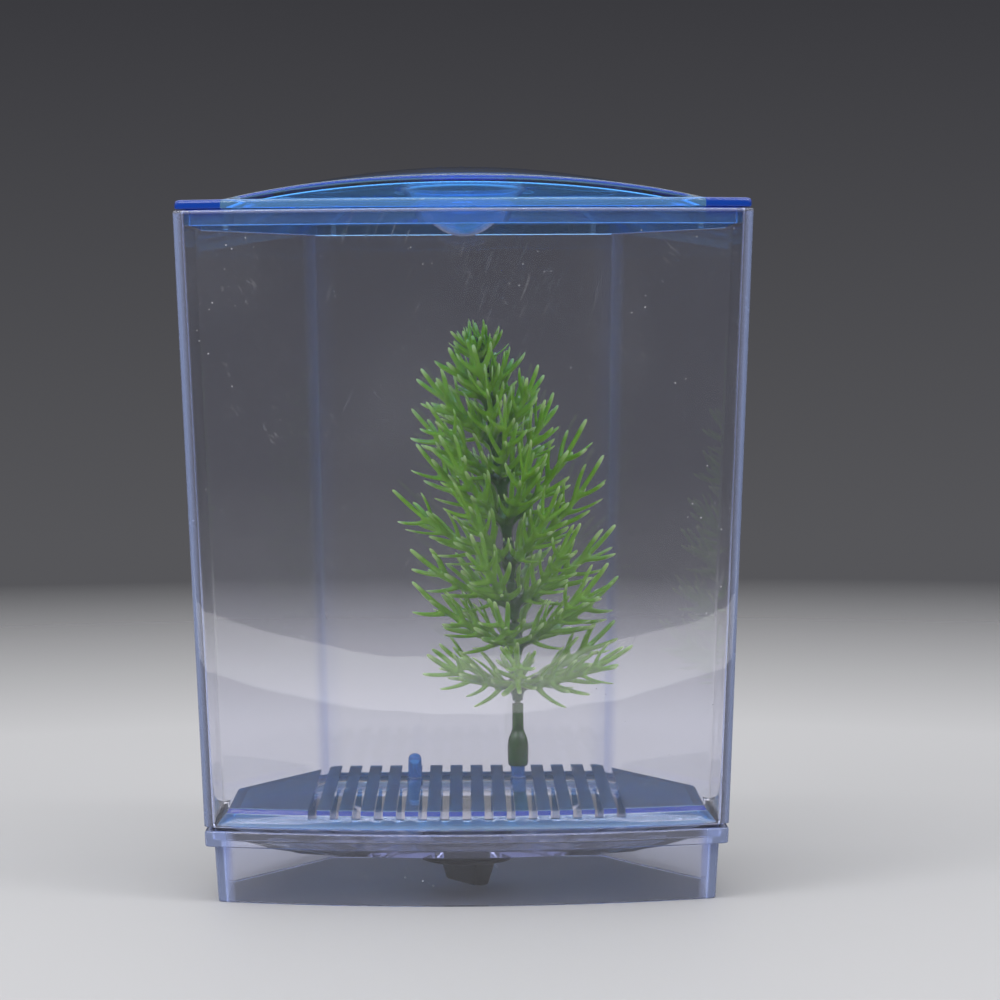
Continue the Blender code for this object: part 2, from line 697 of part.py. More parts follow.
def grip(flange_under):
    """The bar that fingers turn, tapering downwards."""
    root = flange_under + KNOB_FLANGE / 2
    foot = flange_under - GRIP_DROP
    loops = [
        bar_loop(GRIP_TOP_LENGTH, GRIP_TOP_WIDTH, root, GRIP_TURN),
        bar_loop(GRIP_FOOT_LENGTH, GRIP_FOOT_WIDTH, foot + SEAT_GAP, GRIP_TURN),
        bar_loop(GRIP_FOOT_LENGTH - 2 * SEAT_GAP, GRIP_FOOT_WIDTH - 2 * SEAT_GAP, foot, GRIP_TURN),
    ]
    return loft("grip", loops)


def pointer(flange_under):
    """A slanted fin from the grip to the flange's rim, which shows which way the knob stands."""
    root = flange_under + KNOB_FLANGE / 2
    reach = KNOB_RADIUS - SEAT_GAP
    side = Vector((0, POINTER_WIDTH / 2, 0))
    plan = [Vector((0, 0, root)), Vector((-reach, 0, root)), Vector((-reach, 0, flange_under - SEAT_GAP)),
            Vector((-reach / 2, 0, flange_under - GRIP_DROP / 2)), Vector((0, 0, flange_under - GRIP_DROP / 2))]
    return loft("pointer", [[DRAIN_AXIS + p - side for p in plan], [DRAIN_AXIS + p + side for p in plan]])


SLEEVE_Z = GRATE_Z + SLEEVE_LIFT
STEM_Z = SLEEVE_Z + BULB_HEIGHT + NECK_HEIGHT
FOLIAGE_HEIGHT = WHORL_COUNT * WHORL_PITCH


def stem_point(z):
    """The stem's centre: upright through its neck, then leaning and bending to the left."""
    above = max(0.0, z - STEM_Z)
    return Vector((PEG_X + STEM_LEAN_share * above + STEM_BOW * (above / FOLIAGE_HEIGHT) ** 2, PEG_Y, z))


def stem_tilt(z):
    """The stem's lean from the vertical, turning about Y."""
    above = max(0.0, z - STEM_Z)
    return math.atan(STEM_LEAN_share + 2 * STEM_BOW * above / FOLIAGE_HEIGHT ** 2)


def build_plant_stem():
    """Sleeve that fits the peg, bulb and neck, then the core rod inside the whorls' tubes."""
    bore = PEG_RADIUS + SEAT_GAP
    bore_top = SLEEVE_Z + SLEEVE_BORE_DEPTH
    rod_top = STEM_Z + FOLIAGE_HEIGHT - WHORL_PITCH / 2
    swell, waist, taper = [SLEEVE_Z + BULB_HEIGHT * share for share in BULB_RING_shares]
    profile = [
        (bore, bore_top), (bore, SLEEVE_Z), (SLEEVE_FOOT_RADIUS, SLEEVE_Z),
        (BULB_RADIUS, swell), (BULB_RADIUS, waist), ((BULB_RADIUS + NECK_RADIUS) / 2, taper),
        (NECK_RADIUS, SLEEVE_Z + BULB_HEIGHT), (NECK_RADIUS, STEM_Z - SEAT_GAP),
        (ROD_RADIUS, STEM_Z - SEAT_GAP),
    ]
    loops = []
    for radius, z in profile:
        centre = stem_point(z)
        loops.append(ring(radius, z, STEM_STEPS, centre.x, centre.y))
    for step in range(1, WHORL_COUNT + 1):
        z = STEM_Z + (rod_top - STEM_Z) * step / WHORL_COUNT
        centre = stem_point(z)
        loops.append(ring(ROD_RADIUS, z, STEM_STEPS, centre.x, centre.y))
    return loft("plant_stem", loops)


def grow(mesh, face, direction, length, width):
    """Push a face out along a direction and shrink it by a share, and return the new end face."""
    new = bmesh.ops.extrude_discrete_faces(mesh, faces=[face])["faces"][0]
    centre = new.calc_center_median()
    for vert in new.verts:
        vert.co = centre + (vert.co - centre) * width + direction * length
    return new


def point_off(mesh, face, direction, length):
    """Bring a face to a point, as the tip of a needle."""
    end = grow(mesh, face, direction, length, 1.0)
    bmesh.ops.pointmerge(mesh, verts=list(end.verts), merge_co=end.calc_center_median())


def needle(mesh, face, outward, upward, length):
    """A short needle from a branch's side: it starts outwards and curves upwards."""
    rooted = (outward + upward * NEEDLE_ROOT_LIFT_share).normalized()
    middle = grow(mesh, face, rooted, length / 2, NEEDLE_MIDDLE_share)
    point_off(mesh, middle, (outward * NEEDLE_TIP_SPREAD_share + upward).normalized(), length / 2)


def side_faces(end):
    """The four faces of the last grown piece, round its end face."""
    faces = []
    for edge in end.edges:
        faces += [face for face in edge.link_faces if face is not end]
    return faces


def branch(mesh, root, outward, rise, length):
    """An antler-like branch: it climbs in steps and throws needles to both sides."""
    vertical = Vector((0, 0, 1))
    direction = (outward * math.cos(rise) + vertical * math.sin(rise)).normalized()
    sideways = outward.cross(vertical).normalized()
    fullness = NEEDLE_SHORTEST_share + (1 - NEEDLE_SHORTEST_share) * min(1.0, length / BRANCH_LENGTH)
    end = grow(mesh, root, direction, length * BRANCH_ROOT_share, BRANCH_WIDTH_share)
    for node_share, run in zip(NEEDLE_NODE_shares, BRANCH_RUN_shares):
        end = grow(mesh, end, direction, length * BRANCH_NODE_share, BRANCH_WIDTH_share)
        for face in side_faces(end):
            face.normal_update()
            lean = face.normal.dot(sideways)
            if abs(lean) > NEEDLE_SIDE_share:
                away = (sideways * math.copysign(1.0, lean) + direction * NEEDLE_SWEEP_share).normalized()
                needle(mesh, face, away, direction, NEEDLE_LENGTH * node_share * fullness)
        direction = (direction + vertical * BRANCH_LIFT_share).normalized()
        end = grow(mesh, end, direction, length * run, BRANCH_RUN_WIDTH_share)
    point_off(mesh, end, (direction + vertical * BRANCH_LIFT_share).normalized(), length * BRANCH_TIP_share)


def wobble(side, index):
    """A repeatable number between -1 and 1 that differs from branch to branch."""
    return math.sin(2.7 * side + 1.9 * index)


def build_whorl(index):
    """One moulded tier of the plant: a six-sided tube on the rod, with a ring of branches."""
    name = "plant_whorl_%02d" % (index + 1)
    low = SEAT_GAP / 2
    high = WHORL_PITCH - SEAT_GAP / 2
    band_low = WHORL_PITCH * BRANCH_BAND_FOOT_share
    turn = math.pi / BRANCHES * (index % 2) + WHORL_TURN * index
    inner = TUBE_RADIUS - TUBE_WALL
    mesh = bmesh.new()
    levels = [(inner, low), (TUBE_RADIUS, low), (TUBE_RADIUS, band_low),
              (TUBE_RADIUS, band_low + BRANCH_BAND), (TUBE_RADIUS, high), (inner, high)]
    rows = []
    for radius, z in levels:
        row = []
        for side in range(BRANCHES):
            angle = turn + 2 * math.pi * (side - 0.5) / BRANCHES
            row.append(mesh.verts.new((radius * math.cos(angle), radius * math.sin(angle), z)))
        rows.append(row)
    roots = []
    for level, (lower, upper) in enumerate(zip(rows, rows[1:] + rows[:1])):
        for side in range(BRANCHES):
            following = (side + 1) % BRANCHES
            face = mesh.faces.new((lower[side], lower[following], upper[following], upper[side]))
            if level == 2:
                roots.append(face)
    bmesh.ops.recalc_face_normals(mesh, faces=mesh.faces)
    for side, root in enumerate(roots):
        angle = turn + 2 * math.pi * side / BRANCHES
        outward = Vector((math.cos(angle), math.sin(angle), 0))
        rise = math.radians(RISE_DEGREES[index]) + BRANCH_RISE_SPREAD * wobble(side, index)
        length = BRANCH_LENGTH * LENGTH_shares[index]
        length *= 1 + BRANCH_LENGTH_SPREAD_share * wobble(side + index, BRANCHES)
        length *= 1 - BRANCH_BACK_TRIM_share * max(0.0, outward.y)
        branch(mesh, root, outward, rise, length)
    bmesh.ops.recalc_face_normals(mesh, faces=mesh.faces)
    foot = stem_point(STEM_Z + index * WHORL_PITCH)
    tilt = stem_tilt(STEM_Z + (index + 0.5) * WHORL_PITCH)
    bmesh.ops.rotate(mesh, verts=mesh.verts, cent=(0, 0, 0), matrix=Matrix.Rotation(tilt, 3, "Y"))
    whorl = make_object(name, mesh)
    whorl.location = foot
    return whorl


def main():
    """Build every piece and dress it."""
    for old in list(bpy.data.objects):
        bpy.data.objects.remove(old)
    clear = plastic("clear_plastic", (0.80, 0.82, 0.92), 0.05, transmission=1.0, alpha=0.35)
    blue = plastic("blue_plastic", (0.05, 0.28, 0.72), 0.08, transmission=0.8, alpha=0.6)
    black = plastic("black_plastic", (0.012, 0.012, 0.014), 0.35)
    rubber = plastic("seal_rubber", (0.02, 0.02, 0.02), 0.8)
    leaf = plastic("leaf_plastic", (0.10, 0.34, 0.03), 0.45)
    finish(build_stand(), clear)
    finish(build_tank(), clear)
    finish(build_lid(), blue, tidy=True)
    finish(build_grate(), blue, tidy=True)
    finish(build_drain_seat(), black, tidy=True)
    finish(build_drain_seal(), rubber)
    finish(build_drain_knob(), black, tidy=True)
    finish(build_plant_stem(), leaf)
    for index in range(WHORL_COUNT):
        finish(build_whorl(index), leaf)


main()
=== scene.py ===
"""Looks of the fish breeding box: clear tank and stand, blue lid and grate, drain and plant.

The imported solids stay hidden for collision, and finer pieces in the same places stand for
them. Everything is in metres in the row frame: +X to the right seen from the front, the
front faces -Y, +Z up, and the origin lies on the table under the middle of the rim.
"""

import logging
import math
from collections.abc import Callable, Iterable
from dataclasses import dataclass, field
from enum import Enum

import bmesh
import bpy
from mathutils import Matrix, Vector


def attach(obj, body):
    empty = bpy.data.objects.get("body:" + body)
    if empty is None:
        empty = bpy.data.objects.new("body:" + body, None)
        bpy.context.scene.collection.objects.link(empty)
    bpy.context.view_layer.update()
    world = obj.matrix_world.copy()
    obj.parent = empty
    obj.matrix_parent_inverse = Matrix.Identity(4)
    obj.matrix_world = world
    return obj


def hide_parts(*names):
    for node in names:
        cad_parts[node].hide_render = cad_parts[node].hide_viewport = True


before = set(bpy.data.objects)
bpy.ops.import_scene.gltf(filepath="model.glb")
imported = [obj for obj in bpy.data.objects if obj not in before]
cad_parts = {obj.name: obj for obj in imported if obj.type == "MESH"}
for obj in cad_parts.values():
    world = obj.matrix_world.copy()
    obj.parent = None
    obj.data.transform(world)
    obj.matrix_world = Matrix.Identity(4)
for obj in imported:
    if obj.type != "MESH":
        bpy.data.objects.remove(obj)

LOG = logging.getLogger("breeding_box")

Ring = list[bmesh.types.BMEdge]
Triple = tuple[float, float, float]

BOW_STEPS = 48
CORNER_STEPS = 4
WALL_STEPS = (7, 9, 12, 9)
SEAT_GAP = 0.0003
BRIDGE_GAP = 0.01
MERGE = 1e-7
SHARP_ANGLE = math.radians(52)
UPRIGHT = (0.0, 0.0, 1.0)


class Body(str, Enum):
    """The moving bodies that pieces ride on."""

    STAND = "stand"
    TANK = "tank"
    KNOB = "drain_knob"
    LID = "lid"
    GRATE = "grate"
    PLANT = "plant"


class Slot(str, Enum):
    """The record's material slots."""

    CLEAR = "clear_plastic"
    BLUE = "blue_plastic"
    BLACK = "black_plastic"
    RUBBER = "seal_rubber"
    LEAF = "leaf_plastic"


class Shade(Enum):
    """How a piece's faces meet under light."""

    SMOOTH = "smooth"
    MOULDED = "moulded"


# Drawing tools


@dataclass(frozen=True)
class Plan:
    """Plan of the box: bowed front, parallel sides, chamfers and a flat back.

    Args:
        half_width: Half the width between the side walls.
        apex_y: Y of the bowed front's middle.
        bow: How far the front's corners lie behind its middle.
        side: Length of the parallel side walls.
        back_half: Half the width of the back wall.
        back_y: Y of the back wall.
        fillet: Run of each rounded corner along its walls.
    """

    half_width: float
    apex_y: float
    bow: float
    side: float
    back_half: float
    back_y: float
    fillet: float = 0.0010

    @property
    def corner_y(self) -> float:
        """Y of the front's corners."""
        return self.apex_y + self.bow

    @property
    def middle_y(self) -> float:
        """Y where the side walls turn into the chamfers."""
        return self.corner_y + self.side

    @property
    def bow_radius(self) -> float:
        """Radius of the bowed front."""
        return (self.half_width ** 2 + self.bow ** 2) / (2 * self.bow)

    def inset(self, distance: float) -> "Plan":
        """Move every wall inwards.

        Args:
            distance: How far; a negative distance moves the walls outwards.

        Returns:
            The new plan.
        """
        centre_y = self.apex_y + self.bow_radius
        half_width = self.half_width - distance
        corner_y = centre_y - math.sqrt((self.bow_radius - distance) ** 2 - half_width ** 2)
        back_y = self.back_y - distance
        run = Vector((self.back_half - self.half_width, self.back_y - self.middle_y))
        normal = Vector((run.y, -run.x)).normalized()
        level = normal.x * self.half_width + normal.y * self.middle_y - distance
        middle_y = (level - normal.x * half_width) / normal.y
        back_half = (level - normal.y * back_y) / normal.x
        return Plan(half_width, self.apex_y + distance, corner_y - self.apex_y - distance,
                    middle_y - corner_y, back_half, back_y, self.fillet)

    def blend(self, other: "Plan", share: float) -> "Plan":
        """A plan between this one, at 0, and another, at 1.

        Args:
            other: The plan at 1.
            share: Where between them.

        Returns:
            The new plan.
        """
        def mix(a: float, b: float) -> float:
            """The value between a and b."""
            return a + (b - a) * share
        return Plan(mix(self.half_width, other.half_width), mix(self.apex_y, other.apex_y),
                    mix(self.bow, other.bow), mix(self.side, other.side),
                    mix(self.back_half, other.back_half), mix(self.back_y, other.back_y), self.fillet)

    def draw(self, mesh: bmesh.types.BMesh, z: float) -> Ring:
        """Draw the plan at a height: the front is spun, the corners are bevelled.

        Args:
            mesh: Where it is drawn.
            z: Height.

        Returns:
            The closed ring of edges.
        """
        old_edges = set(mesh.edges)
        old_faces = set(mesh.faces)
        sweep = 2 * math.asin(self.half_width / self.bow_radius)
        left = mesh.verts.new((-self.half_width, self.corner_y, z))
        spun = bmesh.ops.spin(mesh, geom=[left], cent=(0.0, self.apex_y + self.bow_radius, z),
                              axis=UPRIGHT, angle=sweep, steps=BOW_STEPS)["geom_last"]
        turns = [left, spun[0]]
        corners = ((self.half_width, self.middle_y), (self.back_half, self.back_y),
                   (-self.back_half, self.back_y), (-self.half_width, self.middle_y))
        for (x, y), steps in zip(corners, WALL_STEPS):
            step = (Vector((x, y, z)) - turns[-1].co) / steps
            spun = bmesh.ops.spin(mesh, geom=[turns[-1]], cent=(0.0, 0.0, 0.0), axis=UPRIGHT, dvec=step,
                                  angle=0.0, steps=steps)["geom_last"]
            turns.append(spun[0])
        step = (left.co - turns[-1].co) / WALL_STEPS[0]
        spun = bmesh.ops.spin(mesh, geom=[turns[-1]], cent=(0.0, 0.0, 0.0), axis=UPRIGHT, dvec=step,
                              angle=0.0, steps=WALL_STEPS[0] - 1)["geom_last"]
        mesh.edges.new((spun[0], left))
        outline = [edge for edge in mesh.edges if edge not in old_edges]
        bmesh.ops.contextual_create(mesh, geom=outline)
        bmesh.ops.bevel(mesh, geom=turns, offset=self.fillet, offset_type="OFFSET", segments=CORNER_STEPS,
                        profile=0.5, affect="VERTICES", material=-1)
        face = next(face for face in mesh.faces if face not in old_faces)
        ring = list(face.edges)
        bmesh.ops.delete(mesh, geom=[face], context="FACES_ONLY")
        return ring


def verts_of(ring: Ring) -> list[bmesh.types.BMVert]:
    """The points of a ring of edges, each once."""
    return list({vert for edge in ring for vert in edge.verts})


class Moulding:
    """A moulded wall made by bridging ring after ring, then closed."""

    def __init__(self) -> None:
        """Start with no rings."""
        self.mesh = bmesh.new()
        self.mesh.verts.layers.float.new("height")
        self.rings: list[Ring] = []

    def keep(self, ring: Ring, z: float) -> list[bmesh.types.BMVert]:
        """Note a ring and its height, and return its points.

        Args:
            ring: The ring's edges.
            z: Its height.

        Returns:
            The ring's points.
        """
        height = self.mesh.verts.layers.float["height"]
        verts = verts_of(ring)
        for vert in verts:
            vert[height] = z
        self.rings.append(ring)
        return verts

    def plan(self, plan: Plan, z: float) -> list[bmesh.types.BMVert]:
        """Add the box's plan at a height."""
        return self.keep(plan.draw(self.mesh, z), z)

    def round(self, plan: Plan, radius: float, centre: Vector, z: float) -> list[bmesh.types.BMVert]:
        """Add a plan that is drawn together to a circle.

        Args:
            plan: The plan, whose points keep their bearings from the centre.
            radius: The circle's radius.
            centre: The circle's centre.
            z: Height.

        Returns:
            The ring's points.
        """
        verts = self.plan(plan, z)
        for vert in verts:
            vert.co.xy = centre.xy + (vert.co.xy - centre.xy).normalized() * radius
        return verts

    def circle(self, radius: float, centre: Vector, count: int) -> list[bmesh.types.BMVert]:
        """Add a level circle with evenly spread points.

        Args:
            radius: The circle's radius.
            centre: Its centre; its height is kept.
            count: How many points.

        Returns:
            The ring's points.
        """
        made = bmesh.ops.create_circle(self.mesh, cap_ends=False, segments=count, radius=radius,
                                       matrix=Matrix.Translation(centre))["verts"]
        return self.keep(list({edge for vert in made for edge in vert.link_edges}), centre.z)

    def bridge(self, closed: bool) -> bmesh.types.BMesh:
        """Join the rings, each pair held apart on two levels while it is bridged.

        Args:
            closed: True joins the last ring to the first; False closes both with a face.

        Returns:
            The mesh, with its faces pointing outwards.
        """
        pairs = list(zip(self.rings, self.rings[1:]))
        if closed:
            pairs.append((self.rings[-1], self.rings[0]))
        for lower, upper in pairs:
            for ring, level in ((lower, 0.0), (upper, BRIDGE_GAP)):
                for vert in verts_of(ring):
                    vert.co.z = level
            bmesh.ops.bridge_loops(self.mesh, edges=lower + upper)
        if not closed:
            for ring in (self.rings[0], self.rings[-1]):
                bmesh.ops.contextual_create(self.mesh, geom=ring)
        height = self.mesh.verts.layers.float["height"]
        for vert in self.mesh.verts:
            vert.co.z = vert[height]
        bmesh.ops.recalc_face_normals(self.mesh, faces=self.mesh.faces)
        return self.mesh


def turned(mesh: bmesh.types.BMesh, profile: Iterable[tuple[float, float]], centre: Vector,
           steps: int = 64) -> None:
    """Spin a profile about an upright axis and close it.

    Args:
        mesh: Where it is made.
        profile: Radius and height pairs; a radius of 0 closes on the axis.
        centre: A point on the axis.
        steps: Facets round the axis.
    """
    points = [mesh.verts.new((centre.x + radius, centre.y, z)) for radius, z in profile]
    edges = [mesh.edges.new(pair) for pair in zip(points, points[1:])]
    bmesh.ops.spin(mesh, geom=points + edges, cent=(centre.x, centre.y, 0.0), axis=UPRIGHT,
                   angle=2 * math.pi, steps=steps, use_merge=True)
    bmesh.ops.remove_doubles(mesh, verts=mesh.verts, dist=MERGE)
    bmesh.ops.recalc_face_normals(mesh, faces=mesh.faces)


def block(mesh: bmesh.types.BMesh, low: Vector, high: Vector, round_off: float = 0.0) -> None:
    """Add a block between two corners, with rounded edges.

    Args:
        mesh: Where it is added.
        low: Lowest corner.
        high: Highest corner.
        round_off: Width of its rounded edges; 0 leaves them sharp.
    """
    made = bmesh.ops.create_cube(mesh, size=1.0)["verts"]
    bmesh.ops.scale(mesh, vec=high - low, verts=made)
    bmesh.ops.translate(mesh, vec=(high + low) / 2, verts=made)
    if round_off:
        edges = list({edge for vert in made for edge in vert.link_edges})
        bmesh.ops.bevel(mesh, geom=edges, offset=round_off, segments=2, profile=0.5, affect="EDGES",
                        material=-1)


def combine(target: bpy.types.Object, tool: bmesh.types.BMesh, operation: str) -> None:
    """Join a tool to a piece or cut it away, and keep the result in the piece's mesh.

    Args:
        target: The piece.
        tool: The other shape; it is used up.
        operation: UNION or DIFFERENCE.
    """
    data = bpy.data.meshes.new("tool")
    tool.to_mesh(data)
    tool.free()
    other = bpy.data.objects.new("tool", data)
    bpy.context.scene.collection.objects.link(other)
    modifier = target.modifiers.new("cut", "BOOLEAN")
    modifier.object = other
    modifier.operation = operation
    modifier.solver = "EXACT"
    bpy.context.view_layer.update()
    evaluated = target.evaluated_get(bpy.context.evaluated_depsgraph_get())
    result = bpy.data.meshes.new_from_object(evaluated)
    target.modifiers.clear()
    target.data = result
    bpy.data.objects.remove(other)


def paint(mesh: bmesh.types.BMesh, name: str, rule: Callable[[Vector], float]) -> None:
    """Give every point a value that its material reads.

    Args:
        mesh: The mesh.
        name: The attribute's name.
        rule: The value for a point.
    """
    layer = mesh.verts.layers.float.new(name)
    for vert in mesh.verts:
        vert[layer] = rule(vert.co)


def paint_piece(piece: bpy.types.Object, name: str, rule: Callable[[Vector], float]) -> None:
    """Paint a piece whose shape is finished, so that cuts keep sharp limits of colour.

    Args:
        piece: The piece.
        name: The attribute's name.
        rule: The value for a point.
    """
    mesh = bmesh.new()
    mesh.from_mesh(piece.data)
    paint(mesh, name, rule)
    mesh.to_mesh(piece.data)
    mesh.free()


def make_piece(name: str, mesh: bmesh.types.BMesh) -> bpy.types.Object:
    """A named object at the origin from a finished mesh.

    Args:
        name: The piece's name.
        mesh: Its mesh; it is used up.

    Returns:
        The new piece.
    """
    data = bpy.data.meshes.new(name)
    mesh.to_mesh(data)
    mesh.free()
    piece = bpy.data.objects.new(name, data)
    bpy.context.scene.collection.objects.link(piece)
    return piece


def settle(piece: bpy.types.Object, body: Body, material: bpy.types.Material,
           nodes: Iterable[str], shade: Shade = Shade.MOULDED) -> bpy.types.Object:
    """Dress a piece, let it ride on its body and let it stand for its solids.

    Args:
        piece: The piece.
        body: The body it moves with.
        material: Its material.
        nodes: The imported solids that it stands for.
        shade: How its faces meet.

    Returns:
        The piece.
    """
    piece.data.materials.clear()
    piece.data.materials.append(material)
    piece.data.shade_smooth()
    if shade is Shade.MOULDED:
        piece.data.set_sharp_from_angle(angle=SHARP_ANGLE)
        even = piece.modifiers.new("even_light", "WEIGHTED_NORMAL")
        even.keep_sharp = True
        even.weight = 100
    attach(piece, body.value)
    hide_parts(*nodes)
    LOG.info("%s: %d faces on %s", piece.name, len(piece.data.polygons), body.value)
    return piece


# Finishes


class Graph:
    """A node tree with short ways to add and join nodes."""

    def __init__(self, tree: bpy.types.NodeTree) -> None:
        """Work on a tree."""
        self.tree = tree

    def add(self, kind: str, **settings: object) -> bpy.types.Node:
        """Add a node and set its properties.

        Args:
            kind: Its type without the word ShaderNode.
            **settings: Properties by name.

        Returns:
            The node.
        """
        node = self.tree.nodes.new("ShaderNode" + kind)
        for key, value in settings.items():
            setattr(node, key, value)
        return node

    def join(self, source: bpy.types.NodeSocket, target: bpy.types.NodeSocket) -> None:
        """Link an output to an input."""
        self.tree.links.new(source, target)

    def place(self, scale: Triple = (1.0, 1.0, 1.0), turn: Triple = (0.0, 0.0, 0.0),
              shift: Triple = (0.0, 0.0, 0.0), kind: str = "POINT") -> bpy.types.NodeSocket:
        """Object coordinates, scaled, turned and shifted.

        Args:
            scale: Scale on each axis.
            turn: Turn about each axis in degrees.
            shift: Shift on each axis.
            kind: POINT scales the coordinates, TEXTURE stretches the pattern.

        Returns:
            The vector.
        """
        mapping = self.add("Mapping", vector_type=kind)
        mapping.inputs["Scale"].default_value = scale
        mapping.inputs["Rotation"].default_value = [math.radians(angle) for angle in turn]
        mapping.inputs["Location"].default_value = shift
        self.join(self.add("TexCoord").outputs["Object"], mapping.inputs["Vector"])
        return mapping.outputs["Vector"]

    def noise(self, vector: bpy.types.NodeSocket, scale: float, detail: float = 2.0,
              rough: float = 0.5) -> bpy.types.NodeSocket:
        """A noise value on a vector.

        Args:
            vector: Where it is read.
            scale: How fine it is.
            detail: How many finer layers it has.
            rough: How strong those are.

        Returns:
            The value.
        """
        node = self.add("TexNoise")
        node.inputs["Scale"].default_value = scale
        node.inputs["Detail"].default_value = detail
        node.inputs["Roughness"].default_value = rough
        self.join(vector, node.inputs["Vector"])
        return node.outputs["Fac"]

    def spots(self, vector: bpy.types.NodeSocket, scale: float) -> bpy.types.NodeSocket:
        """Distance to the nearest of many scattered points.

        Args:
            vector: Where it is read.
            scale: How fine it is.

        Returns:
            The distance.
        """
        node = self.add("TexVoronoi")
        node.inputs["Scale"].default_value = scale
        self.join(vector, node.inputs["Vector"])
        return node.outputs["Distance"]

    def span(self, value: bpy.types.NodeSocket, low: float, high: float, to_low: float,
             to_high: float) -> bpy.types.NodeSocket:
        """Map a value from one span to another and hold it there.

        Args:
            value: The value.
            low: Start of its span.
            high: End of its span.
            to_low: Result at the start.
            to_high: Result at the end.

        Returns:
            The result.
        """
        node = self.add("MapRange")
        for index, number in enumerate((low, high, to_low, to_high), start=1):
            node.inputs[index].default_value = number
        self.join(value, node.inputs["Value"])
        return node.outputs["Result"]

    def maths(self, operation: str, first: bpy.types.NodeSocket | float,
              second: bpy.types.NodeSocket | float) -> bpy.types.NodeSocket:
        """Combine two values.

        Args:
            operation: The Math node's operation.
            first: A socket or a number.
            second: A socket or a number.

        Returns:
            The result.
        """
        node = self.add("Math", operation=operation)
        for socket, value in zip(node.inputs, (first, second)):
            if isinstance(value, bpy.types.NodeSocket):
                self.join(value, socket)
            else:
                socket.default_value = value
        return node.outputs["Value"]

    def colours(self, value: bpy.types.NodeSocket,
                stops: Iterable[tuple[float, Triple]]) -> bpy.types.NodeSocket:
        """A colour ramp along a value.

        Args:
            value: The value.
            stops: Positions and their colours, in order.

        Returns:
            The colour.
        """
        ramp = self.add("ValToRGB")
        elements = ramp.color_ramp.elements
        for index, (position, colour) in enumerate(stops):
            element = elements[index] if index < 2 else elements.new(position)
            element.position = position
            element.color = (*colour, 1.0)
        self.join(value, ramp.inputs["Fac"])
        return ramp.outputs["Color"]

    def bump(self, height: bpy.types.NodeSocket, strength: float, distance: float) -> bpy.types.NodeSocket:
        """A bumped normal.

        Args:
            height: The height.
            strength: Share of the effect.
            distance: Height in metres for a value of 1.

        Returns:
            The normal.
        """
        node = self.add("Bump")
        node.inputs["Strength"].default_value = strength
        node.inputs["Distance"].default_value = distance
        self.join(height, node.inputs["Height"])
        return node.outputs["Normal"]


@dataclass(frozen=True)
class Moulded:
    """A finish of moulded plastic, the base of the others.

    Args:
        name: The material's name.
        colour: Its colour, as the surface sends it back.
        roughness: Its mean roughness.
    """

    name: str
    colour: Triple
    roughness: float

    def start(self) -> tuple[bpy.types.Material, Graph, bpy.types.Node]:
        """A new material, its graph and its shader.

        Returns:
            The material, its graph and its Principled shader.
        """
        material = bpy.data.materials.new(self.name)
        material.use_nodes = True
        graph = Graph(material.node_tree)
        shader = material.node_tree.nodes["Principled BSDF"]
        shader.inputs["Base Color"].default_value = (*self.colour, 1.0)
        shader.inputs["Roughness"].default_value = self.roughness
        shader.inputs["Metallic"].default_value = 0.0
        return material, graph, shader


